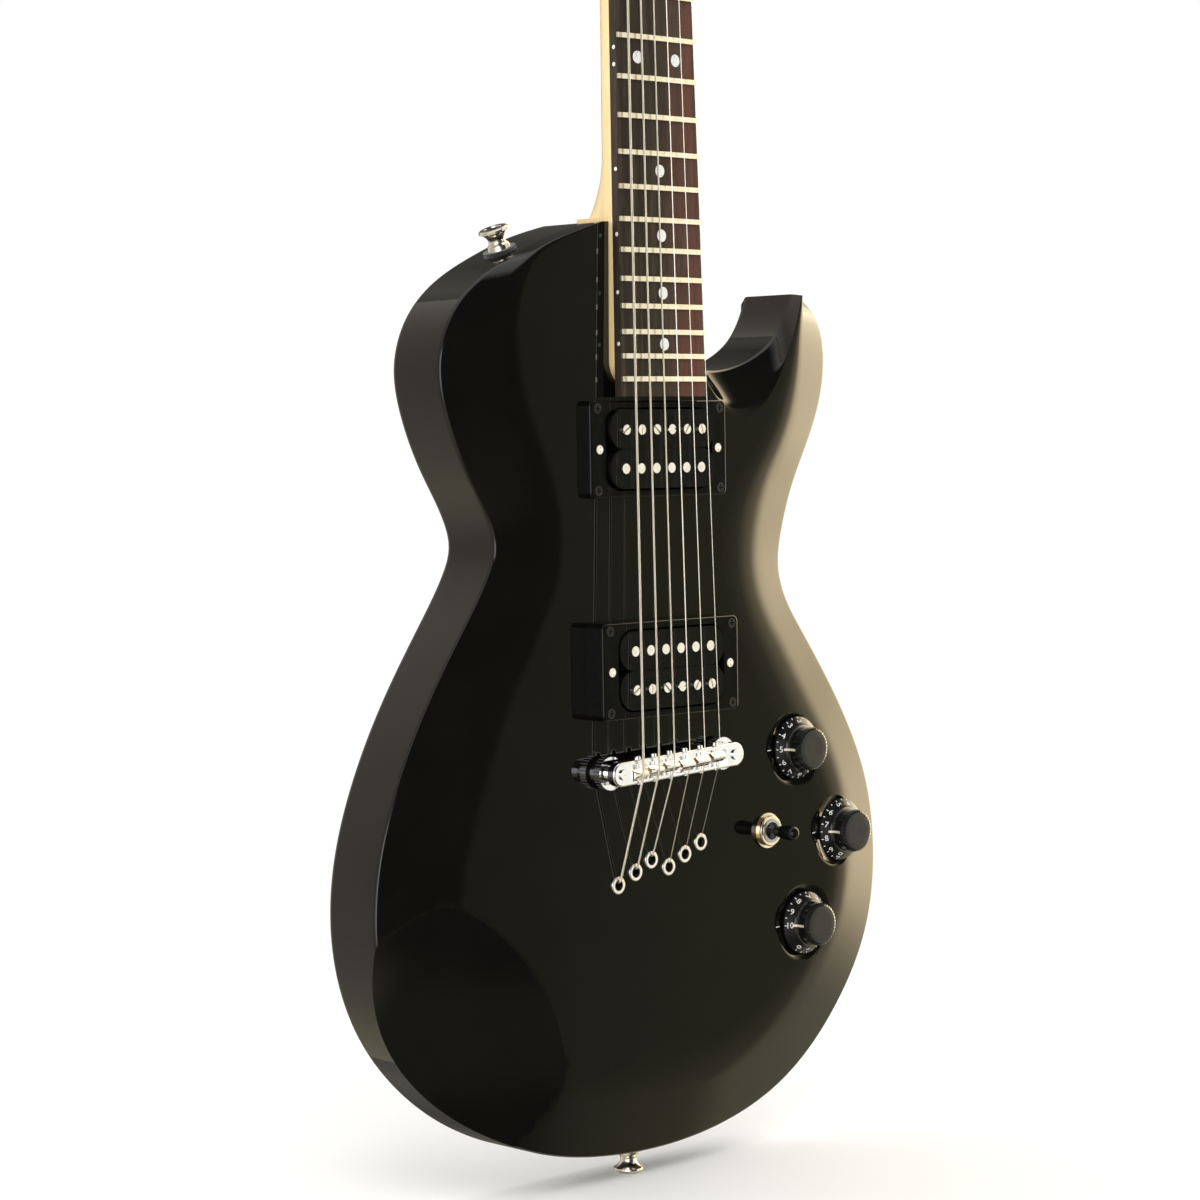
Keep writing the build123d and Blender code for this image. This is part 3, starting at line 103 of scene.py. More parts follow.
# ---------------------------------------------------------------- shader graphs
class Graph:
    """Short calls for building nodes; each returns the socket to use next."""

    def __init__(self, tree, coordinate):
        self.tree = tree
        self.coords = tree.nodes.new("ShaderNodeTexCoord").outputs[coordinate]

    def feed(self, socket, value):
        """Link a socket, or set a number or an RGB tuple."""
        if isinstance(value, bpy.types.NodeSocket):
            self.tree.links.new(value, socket)
        elif socket.type == "RGBA":
            socket.default_value = (*value, 1)
        else:
            socket.default_value = value

    def node(self, kind, inputs, **settings):
        node = self.tree.nodes.new(kind)
        for key, value in settings.items():
            setattr(node, key, value)
        for key, value in inputs.items():
            self.feed(node.inputs[key], value)
        return node

    def stretch(self, *scale):
        return self.node("ShaderNodeMapping", {"Scale": scale, "Vector": self.coords}).outputs[0]

    def noise(self, scale, detail=3.0, rough=0.5, vector=None, distortion=0.0):
        return self.node("ShaderNodeTexNoise", {
            "Scale": scale, "Detail": detail, "Roughness": rough,
            "Distortion": distortion, "Vector": vector or self.coords}).outputs["Fac"]

    def bands(self, scale, direction, distortion, detail, detail_scale, vector=None):
        return self.node("ShaderNodeTexWave", {
            "Scale": scale, "Distortion": distortion, "Detail": detail,
            "Detail Scale": detail_scale, "Vector": vector or self.coords},
            bands_direction=direction).outputs["Fac"]

    def ramp(self, factor, stops):
        node = self.node("ShaderNodeValToRGB", {"Fac": factor})
        elements = node.color_ramp.elements
        while len(elements) < len(stops):
            elements.new(0.5)
        for element, (position, colour) in zip(elements, stops):
            element.position = position
            element.color = (*colour, 1)
        return node.outputs["Color"]

    def remap(self, value, to=(0.0, 1.0), span=(0.0, 1.0), smooth=False):
        """Carry `span` onto `to`."""
        return self.node("ShaderNodeMapRange", {
            "From Min": span[0], "From Max": span[1], "To Min": to[0], "To Max": to[1],
            "Value": value},
            interpolation_type="SMOOTHSTEP" if smooth else "LINEAR").outputs["Result"]

    def calc(self, operation, *operands):
        return self.node("ShaderNodeMath", dict(enumerate(operands)),
                         operation=operation).outputs[0]

    def mix(self, factor, first, second, blend="MIX"):
        return self.node("ShaderNodeMix", {0: factor, 6: first, 7: second},
                         data_type="RGBA", blend_type=blend).outputs[2]

    def mix_shader(self, factor, first, second):
        return self.node("ShaderNodeMixShader", {0: factor, 1: first, 2: second}).outputs[0]

    def xyz(self):
        return self.node("ShaderNodeSeparateXYZ", {0: self.coords}).outputs


class Surface(Graph):
    """A material round one Principled shader, in object coordinates (metres)."""

    INPUTS = {"color": "Base Color", "rough": "Roughness", "metal": "Metallic", "ior": "IOR",
              "coat": "Coat Weight", "coat_rough": "Coat Roughness",
              "spec": "Specular IOR Level", "sheen": "Sheen Weight"}

    def __init__(self, name):
        self.material = bpy.data.materials.new(name)
        self.material.use_nodes = True
        super().__init__(self.material.node_tree, "Object")
        self.shader = self.tree.nodes["Principled BSDF"]

    def set(self, **values):
        for key, value in values.items():
            self.feed(self.shader.inputs[self.INPUTS[key]], value)

    def bump(self, height, strength, distance):
        node = self.node("ShaderNodeBump", {"Strength": strength, "Distance": distance,
                                            "Height": height})
        self.feed(self.shader.inputs["Normal"], node.outputs["Normal"])


def gloss_black():
    m = Surface("gloss_black_lacquer")
    base = m.ramp(m.noise(scale=30), [(0.3, (0.0022, 0.0020, 0.0016)),
                                      (0.7, (0.0034, 0.0031, 0.0025))])
    dust = m.remap(m.noise(scale=1500, detail=1, rough=0.4), span=(0.80, 0.84))
    m.set(color=m.mix(m.calc("MULTIPLY", dust, 0.35), base, (0.10, 0.10, 0.10)),
          rough=m.remap(m.noise(scale=55, detail=4, rough=0.6), to=(0.022, 0.045)), ior=1.52)
    m.bump(m.noise(scale=240, detail=2, rough=0.4), strength=0.012, distance=0.0002)
    return m.material


def maple():
    m = Surface("maple_satin")
    lengthwise = m.stretch(26, 26, 2.2)
    grain = m.noise(scale=3.2, detail=6, rough=0.62, vector=lengthwise, distortion=0.5)
    rings = m.bands(scale=1.1, direction="X", distortion=5.0, detail=3.0, detail_scale=1.2,
                    vector=lengthwise)
    figure = m.calc("ADD", m.calc("MULTIPLY", grain, 0.65), m.calc("MULTIPLY", rings, 0.35))
    wood = m.ramp(figure, [(0.25, (0.64, 0.42, 0.17)), (0.5, (0.77, 0.56, 0.26)),
                           (0.8, (0.86, 0.69, 0.38))])
    pores = m.noise(scale=900, detail=2, vector=m.stretch(1, 1, 0.07))
    wood = m.mix(m.remap(pores, to=(0, 0.35), span=(0.60, 0.75)), wood, (0.45, 0.27, 0.12))
    # The headstock's face is lacquered black: near its plane and above the nut.
    x, y, z = m.xyz()
    height = m.calc("ADD", m.calc("MULTIPLY", y, HEAD_NORMAL.y),
                    m.calc("MULTIPLY", z, HEAD_NORMAL.z))
    face = m.calc("GREATER_THAN", height, (HEAD_ORIGIN * MM).dot(HEAD_NORMAL) - 0.0011)
    nut_z = (NECK_ORIGIN + NECK_ALONG * (SCALE_LENGTH + 4.5)).z * MM
    black = m.calc("MULTIPLY", face, m.calc("GREATER_THAN", z, nut_z))
    satin = m.ramp(grain, [(0, (0.30,) * 3), (1, (0.42,) * 3)])
    m.set(color=m.mix(black, wood, (0.004, 0.004, 0.004)),
          rough=m.mix(black, satin, (0.04, 0.04, 0.04)), coat=0.35, coat_rough=0.12)
    m.bump(pores, strength=0.05, distance=0.0001)
    return m.material


def rosewood():
    m = Surface("rosewood_oiled")
    grain = m.noise(scale=4.0, detail=8, rough=0.68, vector=m.stretch(60, 60, 2.4),
                    distortion=0.8)
    streak = m.noise(scale=1.6, detail=4, rough=0.6, vector=m.stretch(110, 110, 3.0),
                     distortion=1.2)
    color = m.ramp(grain, [(0.25, (0.010, 0.0075, 0.005)), (0.5, (0.028, 0.0195, 0.013)),
                           (0.72, (0.064, 0.043, 0.028))])
    # Red streaks come in towards the treble edge.
    red = m.calc("MULTIPLY", m.remap(m.xyz()[0], span=(0.001, 0.017)),
                 m.remap(streak, to=(0.12, 1.0), span=(0.38, 0.60)))
    color = m.mix(m.calc("MULTIPLY", red, 0.8), color, (0.115, 0.018, 0.017))
    pores = m.noise(scale=1500, detail=2, vector=m.stretch(1, 1, 0.05))
    color = m.mix(m.remap(pores, to=(0, 0.8), span=(0.58, 0.7)), color, (0.006, 0.004, 0.003))
    m.set(color=color, rough=m.remap(grain, to=(0.36, 0.58)), spec=0.45)
    m.bump(pores, strength=0.35, distance=0.00015)
    return m.material


def metal(name, dark, light, rough, scale, bump):
    """Mottled metal; `rough` is the range of roughness, `scale` the fineness."""
    m = Surface(name)
    mottle = m.noise(scale=scale, detail=4, rough=0.55)
    m.set(color=m.ramp(mottle, [(0.3, dark), (0.7, light)]), metal=1.0,
          rough=m.remap(m.noise(scale=scale * 0.4, detail=5, rough=0.6), to=rough))
    m.bump(m.noise(scale=scale * 6, detail=2), strength=bump, distance=0.00005)
    return m.material


def plastic(name, dark, light, rough, scale, bump=0.06, spec=0.5):
    """Mottled plastic; `rough` is the range of roughness, `scale` the fineness."""
    m = Surface(name)
    mottle = m.noise(scale=scale, rough=0.6)
    m.set(color=m.ramp(mottle, [(0.3, dark), (0.7, light)]),
          rough=m.remap(m.noise(scale=scale * 0.3, detail=4, rough=0.6), to=rough), spec=spec)
    m.bump(m.noise(scale=scale * 5, detail=2), strength=bump, distance=0.00006)
    return m.material


def pearl():
    m = Surface("pearl_inlay")
    swirl = m.noise(scale=420, rough=0.6, distortion=1.8)
    m.set(color=m.ramp(swirl, [(0.3, (0.50, 0.50, 0.52)), (0.5, (0.80, 0.80, 0.78)),
                               (0.75, (0.62, 0.66, 0.68))]),
          rough=0.22, coat=0.4, coat_rough=0.08)
    return m.material


def wound_string():
    m = Surface("wound_string")
    turns = m.bands(scale=1500, direction="Z", distortion=0.0, detail=0.0, detail_scale=1.0)
    m.set(color=m.ramp(turns, [(0.0, (0.54, 0.51, 0.45)), (0.5, (0.93, 0.90, 0.83))]),
          metal=1.0, rough=0.28)
    m.bump(turns, strength=0.35, distance=0.0001)
    return m.material


def felt():
    m = Surface("black_felt")
    fibres = m.noise(scale=2600, rough=0.8)
    m.set(color=m.ramp(fibres, [(0.3, (0.006, 0.006, 0.007)), (0.7, (0.028, 0.028, 0.030))]),
          rough=0.95, sheen=0.4)
    m.bump(fibres, strength=0.9, distance=0.0004)
    return m.material


def pole_metal():
    """Bright pole tops; the baseplate, behind the body's front, is darkened as painted shade."""
    m = Surface("pole_nickel")
    mottle = m.noise(scale=240, detail=4, rough=0.55)
    # From just in front of the body's front backwards the colour goes near black: painted shade
    # on the baseplate between the bobbins.
    painted_shade_depth = m.remap(m.xyz()[1], span=(-0.002, 0.001))
    color = m.ramp(mottle, [(0.3, (0.74, 0.70, 0.62)), (0.7, (0.90, 0.86, 0.78))])
    m.set(color=m.mix(painted_shade_depth, color, (0.012, 0.011, 0.010)), metal=1.0,
          rough=m.remap(m.noise(scale=90, detail=4, rough=0.6), to=(0.08, 0.26)))
    m.bump(m.noise(scale=900, detail=2), strength=0.25, distance=0.0001)
    return m.material


SLOT_MATERIALS = {
    "gloss_black_lacquer": gloss_black(),
    "maple": maple(),
    "rosewood": rosewood(),
    "fret_wire": metal("fret_wire_metal", dark=(0.84, 0.76, 0.56), light=(0.93, 0.87, 0.69),
                       rough=(0.20, 0.28), scale=120, bump=0.003),
    "pearl": pearl(),
    "nut_bone": plastic("bone_nut", dark=(0.62, 0.58, 0.47), light=(0.78, 0.74, 0.63),
                        rough=(0.3, 0.45), scale=260),
    "steel": metal("zinc_steel", dark=(0.42, 0.43, 0.44), light=(0.60, 0.60, 0.60),
                   rough=(0.3, 0.5), scale=220, bump=0.05),
    "chrome": metal("bright_chrome", dark=(0.80, 0.80, 0.81), light=(0.90, 0.90, 0.91),
                    rough=(0.03, 0.08), scale=180, bump=0.008),
    "nickel": metal("warm_nickel", dark=(0.74, 0.70, 0.63), light=(0.86, 0.83, 0.77),
                    rough=(0.07, 0.16), scale=220, bump=0.015),
    "string_steel": metal("plain_string_steel", dark=(0.84, 0.82, 0.76),
                          light=(0.93, 0.91, 0.86), rough=(0.18, 0.28), scale=300, bump=0.003),
    "black_plastic": plastic("black_moulded_plastic", dark=(0.0030, 0.0030, 0.0031),
                             light=(0.006, 0.006, 0.006), rough=(0.07, 0.13), scale=350,
                             spec=0.32),
    "black_matte": plastic("black_satin_plastic", dark=(0.010, 0.010, 0.010),
                           light=(0.020, 0.020, 0.020), rough=(0.34, 0.5), scale=500,
                           bump=0.12),
    "felt": felt(),
    "brass_nickel": metal("brass_nickel_washer", dark=(0.76, 0.62, 0.42),
                          light=(0.93, 0.82, 0.62), rough=(0.12, 0.24), scale=260, bump=0.03),
    "wire_insulation": plastic("wire_vinyl", dark=(0.012, 0.012, 0.013),
                               light=(0.03, 0.03, 0.032), rough=(0.35, 0.5), scale=600),
}
WOUND = wound_string()
POLES = pole_metal()
BUFFED = metal("buffed_rib", dark=(0.40, 0.40, 0.38), light=(0.58, 0.57, 0.54),
               rough=(0.12, 0.22), scale=700, bump=0.05)
# Cream strip on each knob's waist: a painted highlight of a lamp, not a mark on the knob.
PAINTED_HIGHLIGHT = plastic("painted_highlight_line", dark=(0.62, 0.56, 0.44), light=(0.76, 0.70, 0.58),
                rough=(0.35, 0.5), scale=700, bump=0.1)
PRINT_WHITE = plastic("white_print", dark=(0.66, 0.66, 0.62), light=(0.80, 0.80, 0.76),
                      rough=(0.4, 0.6), scale=900, bump=0.1)
KNOB = plastic("knob_black_plastic", dark=(0.0045, 0.0045, 0.0048),
               light=(0.010, 0.010, 0.010), rough=(0.13, 0.24), scale=420, bump=0.05)
CAP = plastic("knob_cap_grain", dark=(0.018, 0.018, 0.018), light=(0.034, 0.034, 0.033),
              rough=(0.42, 0.58), scale=1400, bump=0.5)
RING = plastic("pickup_ring_plastic", dark=(0.0025, 0.0025, 0.0025),
               light=(0.005, 0.005, 0.0048), rough=(0.06, 0.11), scale=300, bump=0.04,
               spec=0.24)

NODE_MATERIALS = {"wound_strings": WOUND, "pickup_neck_poles": POLES,
                  "pickup_bridge_poles": POLES}
ROUNDED_NODES = ("pickup_neck_bobbins", "pickup_bridge_bobbins",
                 "pickup_ring_neck", "pickup_ring_bridge")


def dress_frame():
    """Give each part of the frame its material, and soften the moulded edges."""
    for subpart in SUBPARTS:
        name = subpart["node"]
        part = NODES[name]
        material = NODE_MATERIALS.get(name, SLOT_MATERIALS[subpart["material_slot"]])
        if name.startswith("pickup_ring"):
            material = RING
        if name.startswith("knob_"):
            material = KNOB
        part.data.materials.clear()
        part.data.materials.append(material)
        if name in ROUNDED_NODES:
            bevel = part.modifiers.new("moulded_edge", "BEVEL")
            bevel.width = 0.35 * MM
            bevel.segments = 2
            bevel.limit_method = "ANGLE"
            bevel.angle_limit = math.radians(50)


# ---------------------------------------------------------------- mesh helpers
def mesh_object(name, bm, recalc=True):
    if recalc:
        bmesh.ops.recalc_face_normals(bm, faces=bm.faces)
    mesh = bpy.data.meshes.new(name)
    bm.to_mesh(mesh)
    bm.free()
    made = bpy.data.objects.new(name, mesh)
    SCENE.collection.objects.link(made)
    return made


def piece(name, bm, material, body, smooth=True):
    made = mesh_object(name, bm)
    made.data.materials.append(material)
    if smooth:
        made.data.shade_smooth()
        made.data.set_sharp_from_angle(angle=math.radians(35))
    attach(made, body)
    return made


def axes_at(x_axis, y_axis, z_axis, origin):
    return Matrix([(*row, place) for *row, place in zip(x_axis, y_axis, z_axis, origin)]
                  + [(0, 0, 0, 1)])


def frame_at(origin, z_axis, x_hint=None):
    """Frame in metres with its z along z_axis."""
    z_axis = Vector(z_axis).normalized()
    if x_hint is None:
        x_hint = (1, 0, 0) if abs(z_axis.x) < 0.9 else (0, 0, 1)
    x_axis = Vector(x_hint)
    x_axis = (x_axis - z_axis * x_axis.dot(z_axis)).normalized()
    return axes_at(x_axis, z_axis.cross(x_axis), z_axis, origin)


def join(bm, first, second):
    """Faces between two closed rings of vertices; the rings may be single points."""
    count = max(len(first), len(second))
    for i in range(count):
        j = (i + 1) % count
        if len(first) == 1:
            bm.faces.new((first[0], second[i], second[j]))
        elif len(second) == 1:
            bm.faces.new((first[i], first[j], second[0]))
        else:
            bm.faces.new((first[i], first[j], second[j], second[i]))


def loft(bm, rings):
    """Join the rings in turn and close both ends."""
    for first, second in zip(rings, rings[1:]):
        join(bm, first, second)
    bm.faces.new(rings[0])
    bm.faces.new(rings[-1])


def disc(x, z, radius, steps=40):
    return [(x + radius * math.cos(2 * math.pi * i / steps),
             z + radius * math.sin(2 * math.pi * i / steps)) for i in range(steps)]


def revolve(bm, profile, placing, steps):
    """Turn (radius, height) points about local z; the profile ends on the axis."""
    rings = []
    for radius, height in profile:
        points = disc(0, 0, radius * MM, steps if radius else 1)
        rings.append([bm.verts.new(placing @ Vector((x, y, height * MM))) for x, y in points])
    for first, second in zip(rings, rings[1:]):
        join(bm, first, second)
    if len(rings[0]) > 1:
        bm.faces.new(rings[0])


def prism(bm, outline, front, back):
    """Solid through an (x, z) outline, from y = front to y = back."""
    loft(bm, [[bm.verts.new(Vector((x, y, z)) * MM) for x, z in outline]
              for y in (front, back)])


def box(bm, placing, *size):
    size = [length * MM for length in size]
    corners = [bm.verts.new(placing @ Vector((x * size[0] / 2, y * size[1] / 2,
                                              z * size[2] / 2)))
               for x in (-1, 1) for y in (-1, 1) for z in (-1, 1)]
    for face in ((0, 1, 3, 2), (4, 6, 7, 5), (0, 4, 5, 1), (2, 3, 7, 6), (0, 2, 6, 4),
                 (1, 5, 7, 3)):
        bm.faces.new([corners[i] for i in face])


def bezier(start, control, end, t):
    return (1 - t) ** 2 * start + 2 * t * (1 - t) * control + t * t * end


def round_poly(corners, grow=0.0):
    """Fillet counter-clockwise (x, z, radius) corners, then grow the shape outward."""
    arc_steps = 8
    outline = []
    count = len(corners)
    for i in range(count):
        before, corner, after = (Vector(corners[(i + q) % count][:2]) for q in (-1, 0, 1))
        u = (before - corner).normalized()
        v = (after - corner).normalized()
        radius = max(corners[i][2], 1e-4)
        half = u.angle(v) / 2
        centre = corner + (u + v).normalized() * (radius / math.sin(half))
        start = corner + u * (radius / math.tan(half)) - centre
        end = corner + v * (radius / math.tan(half)) - centre
        start_angle = math.atan2(start.y, start.x)
        end_angle = math.atan2(end.y, end.x)
        while end_angle < start_angle:
            end_angle += 2 * math.pi
        for j in range(arc_steps + 1):
            angle = start_angle + (end_angle - start_angle) * j / arc_steps
            outline.append((centre.x + (radius + grow) * math.cos(angle),
                            centre.y + (radius + grow) * math.sin(angle)))
    return outline


def rect(x, z, width, height, radius):
    return round_poly([(x - width / 2, z - height / 2, radius),
                       (x + width / 2, z - height / 2, radius),
                       (x + width / 2, z + height / 2, radius),
                       (x - width / 2, z + height / 2, radius)])


def evaluated_mesh(source):
    bpy.context.view_layer.update()
    graph = bpy.context.evaluated_depsgraph_get()
    return bpy.data.meshes.new_from_object(source.evaluated_get(graph))


def subtract(target, bm):
    cutter = mesh_object("cutter", bm)
    cut = target.modifiers.new("cut", "BOOLEAN")
    cut.operation = "DIFFERENCE"
    cut.solver = "EXACT"
    cut.object = cutter
    mesh = evaluated_mesh(target)
    target.modifiers.clear()
    old = target.data
    target.data = mesh
    bpy.data.meshes.remove(old)
    bpy.data.objects.remove(cutter)


# ---------------------------------------------------------------- body shell
# The flat front (plateau) ends in a crest, from which the carve slopes back to the rim.
# Rim x, z; plateau x, z; how far the crest is rounded. Counter-clockwise from the front.
OUTLINE = [
    (-31, 256, -31, 256, 0.4), (-54, 249.6, -53.7, 249, 1.0),
    (-76.8, 240.3, -74.5, 239.4, 2.5), (-99.5, 228, -85.5, 226, 5),
    (-117, 210.5, -91.5, 207, 7), (-124.6, 187, -89.8, 184, 8),
    (-121, 165.5, -84, 165, 8), (-108.5, 137.5, -72.5, 138.5, 8),
    (-96.5, 116.5, -67, 117.5, 8), (-93.2, 103.5, -66.8, 103, 8),
    (-97.5, 91, -69, 89, 8), (-111, 70, -77.8, 70, 8),
    (-134.5, 35, -100.5, 31, 8), (-154.2, -2.9, -118, -6, 9),
    (-165, -36, -129.5, -39, 9), (-168, -66, -134, -66, 9),
    (-164.5, -92, -130.5, -89, 9), (-154.5, -117.5, -120, -110.5, 9),
    (-137, -141.5, -103, -129, 9), (-108, -165.5, -82, -141.5, 10),
    (-68, -183.8, -55, -148.5, 11), (-30, -191.2, -26, -152.5, 11),
    (0, -193, 0, -153.8, 11), (29.1, -191.7, 27, -153.5, 11),
    (60, -186.5, 52, -149.8, 12), (93.1, -174.7, 76.5, -140.5, 12),
    (118.7, -158, 97, -127, 12), (137.2, -139.8, 112, -111.5, 12),
    (151.4, -120.8, 122.5, -96, 12), (161, -101, 129, -81, 12),
    (166.2, -78, 132, -64, 13), (166.6, -52, 131.5, -45, 14),
    (161, -23, 127, -27, 15), (149.5, 3, 116.5, -8, 16),
    (134, 28, 100.5, 14.5, 16), (112.5, 57.5, 82, 45.5, 17),
    (101.5, 74.5, 70.5, 67.5, 17), (97.6, 89.3, 64.5, 88.5, 17),
    (100, 105.5, 63.8, 106, 17), (108.6, 129.3, 72, 129.5, 16),
    (119.3, 149.4, 86.5, 149.5, 14), (128.6, 169.6, 96.5, 171, 10),
    (132.6, 190, 102, 193, 6), (129, 209.5, 105, 210.5, 2.6),
    (119.5, 220, 106.5, 219.5, 1.2), (109, 225, 106.8, 223.9, 0.5),
]
# The outline follows the neck's treble edge between these two z.
EDGE_LOW, EDGE_HIGH = 196, 236
# Treble cutaway, from the horn's tip to the neck, in the same columns.
CUTAWAY = [
    OUTLINE[-1], (103.5, 213, 99.8, 205, 1.2),
    (96, 203, 91.5, 189, 3.0), (84, 194.8, 80.5, 176, 5.0),
    (68, 188.8, 68.5, 168.8, 5.0), (52, 186.5, 54.5, 168, 4.0),
    (39, 188.5, 42, 176.5, 2.0),
    (half_width(EDGE_LOW), EDGE_LOW, half_width(EDGE_LOW), EDGE_LOW, 0.4),
]
# x, z of the top of the body behind the neck, back to the start of the outline
HEEL = [(half_width(EDGE_HIGH), EDGE_HIGH), (21, 249), (2, 255.6), (-31, 256)]
SHARP_CREST = 0.4
RIM_Y = 10.0
RIM_ROUND = 1.6
BODY_DEPTH = 45.0
BACK_ROUND = 4.0

# Counter-clockwise x, z of the control cavity, open at the back
CAVITY = [(x, z, 9) for x, z in ((58, -66), (84, -112), (121, -112), (147, -66),
                                 (147, -30), (114, 14), (84, 14), (58, -22))]
FERRULES = [(-27.2, -59.1), (-15.7, -54.0), (-5.1, -49.1),
            (6.5, -53.7), (17.6, -48.6), (28.6, -43.8)]
PICKUP_Z = (148.6, 43.9)
FRONT_HOLES = [(-36.7, -4.3), (38.7, -0.7)]    # x, z near the saddle line
JACK_ANGLE = math.radians(-44.6)
JACK_NORMAL = Vector((math.cos(JACK_ANGLE), 0, math.sin(JACK_ANGLE)))
JACK_ORIGIN = Vector((128.7, 26, -149.4))
# Shallow round seats in the rim: centre, outward direction
RIM_SEATS = [((-74.2, 24, 241.6), (-0.372, 0, 0.928)), ((0, 24, -193.0), (0, 0, -1))]
SEAT_DEPTH = 0.8
DISH_RADIUS = 19.5
CLEAR_FRONT = -1                 # y where cutters start, in front of the body
CLEAR_BACK = 46                  # y where they end, behind it


def spline(points, steps):
    """Natural cubic by chord length, `steps` samples a segment, last point left out."""
    p = np.array(points, float)
    chords = np.linalg.norm(np.diff(p, axis=0), axis=1)
    h = np.diff(np.concatenate([[0], np.cumsum(chords)]))
    count = len(p)
    system = np.zeros((count, count))
    right = np.zeros((count, 2))
    system[0, 0] = system[-1, -1] = 1
    for i in range(1, count - 1):
        system[i, i - 1:i + 2] = h[i - 1], 2 * (h[i - 1] + h[i]), h[i]
        right[i] = 6 * ((p[i + 1] - p[i]) / h[i] - (p[i] - p[i - 1]) / h[i - 1])
    bend = np.linalg.solve(system, right)
    samples = []
    for i in range(count - 1):
        for j in range(steps):
            a = j / steps
            b = 1 - a
            curve = (b ** 3 - b) * bend[i] + (a ** 3 - a) * bend[i + 1]
            samples.append(b * p[i] + a * p[i + 1] + curve * h[i] ** 2 / 6)
    return samples


def outward(curve):
    """Outward normals of a closed counter-clockwise (x, z) outline."""
    tangent = np.roll(curve, -1, 0) - np.roll(curve, 1, 0)
    tangent /= np.maximum(np.linalg.norm(tangent, axis=1, keepdims=True), 1e-9)
    return np.stack([tangent[:, 1], -tangent[:, 0]], 1)


def trace_outline():
    """Sampled rim, plateau and crest rounding all the way round."""
    steps = 10
    edge_steps = 6
    rim, plateau, crest = [], [], []
    for rows in (OUTLINE, CUTAWAY):
        rim += spline([row[:2] for row in rows], steps)
        plateau += spline([row[2:4] for row in rows], steps)
        crest += [a[4] + (b[4] - a[4]) * j / steps
                  for a, b in zip(rows, rows[1:]) for j in range(steps)]
    low, high = half_width(EDGE_LOW), half_width(EDGE_HIGH)
    edge = [np.array([low + (high - low) * j / edge_steps,
                      EDGE_LOW + (EDGE_HIGH - EDGE_LOW) * j / edge_steps])
            for j in range(edge_steps)]
    closing = edge + spline(HEEL, 8)
    crest += [SHARP_CREST] * len(closing)
    return np.array(rim + closing), np.array(plateau + closing), crest


def at_depth(point, y):
    return np.array([point[0], y, point[1]])


def body_column(rim, plateau, crest, rim_normal, plateau_normal):
    """Points from the flat front over the crest, the rim and the side to the back."""
    across = rim - plateau
    width = float(np.linalg.norm(across))
    # Where the slope is narrow the plateau's own normal takes over.
    share = min(1.0, width / 3.0)
    direction = plateau_normal * (1 - share) + (across / max(width, 1e-6)) * share
    direction /= np.linalg.norm(direction)
    slope_length = math.hypot(width, RIM_Y)
    slope = at_depth(across, RIM_Y) / slope_length
    corner = at_depth(plateau, 0.0)
    rim_corner = at_depth(rim, RIM_Y)
    flat = at_depth(direction, 0)
    crest_start = corner - flat * crest
    crest_end = corner + slope * min(crest, 0.5 * slope_length)
    column = [crest_start - flat * 0.4]
    column += [bezier(crest_start, corner, crest_end, j / 10) for j in range(11)]
    rim_start = rim_corner - slope * RIM_ROUND
    rim_end = rim_corner + np.array([0, RIM_ROUND, 0])
    column += [crest_end * (1 - a) + rim_start * a for a in (0.25, 0.5, 0.75, 1.0)]
    column += [bezier(rim_start, rim_corner, rim_end, j / 6) for j in range(1, 7)]
    back_start = BODY_DEPTH - BACK_ROUND
    column += [at_depth(rim, y) for y in (20.0, 30.0, back_start)]
    for j in range(1, 8):
        angle = math.pi / 2 * j / 7
        inset = BACK_ROUND * (1 - math.cos(angle))
        column.append(at_depth(rim - rim_normal * inset,
                               back_start + BACK_ROUND * math.sin(angle)))
    return column


def build_shell():
    rim, plateau, crest = trace_outline()
    bm = bmesh.new()
    columns = [[bm.verts.new(Vector(point) * MM) for point in body_column(*station)]
               for station in zip(rim, plateau, crest, outward(rim), outward(plateau))]
    for a, b in zip(columns, columns[1:] + columns[:1]):
        for j in range(len(a) - 1):
            bm.faces.new((a[j], a[j + 1], b[j + 1], b[j]))
    bm.faces.new([column[0] for column in columns])
    bm.faces.new([column[-1] for column in reversed(columns)])
    return mesh_object("body_shell", bm)


def dish_y(radius, depth):
    return depth * (1 - (radius / DISH_RADIUS) ** 3)


def cut_dishes(shell):
    """Dished recess round each knob, with a soft lip."""
    bm = bmesh.new()
    for name, x, z, reading, depth in KNOBS:
        profile = [(18.5 * j / 20, dish_y(18.5 * j / 20, depth)) for j in range(21)]
        radius, y = profile[-1]
        slope = depth * 3 * radius ** 2 / DISH_RADIUS ** 3
        lip = [np.array(p) for p in ((radius, y), (radius + y / slope, 0.0), (20.9, -0.07))]
        profile += [tuple(bezier(*lip, j / 8)) for j in range(1, 9)]
        profile += [(23.4, -0.4), (23.4, -6.0), (0.0, -6.0)]
        revolve(bm, [(r, -y) for r, y in profile],
                frame_at(Vector((x, 0, z)) * MM, (0, -1, 0)), 120)
    subtract(shell, bm)


def cut_bowl(shell):
    """Spherical hollow at the lower bass corner of the front."""
    depth, sphere, reach, front, steps = 26.4, 218, 128, -40.0, 40
    radii = [reach * j / steps for j in range(steps + 1)]
    profile = [(r, depth - sphere + math.sqrt(sphere ** 2 - r ** 2)) for r in radii]
    profile += [(reach, front), (0, front)]
    bm = bmesh.new()
    revolve(bm, [(r, -y) for r, y in profile],
            frame_at(Vector((-165, 0, -155)) * MM, (0, -1, 0)), 160)
    subtract(shell, bm)


def round_bore(bm, placing, radius, inner, outer):
    revolve(bm, [(0, inner), (radius, inner), (radius, outer), (0, outer)], placing, 48)


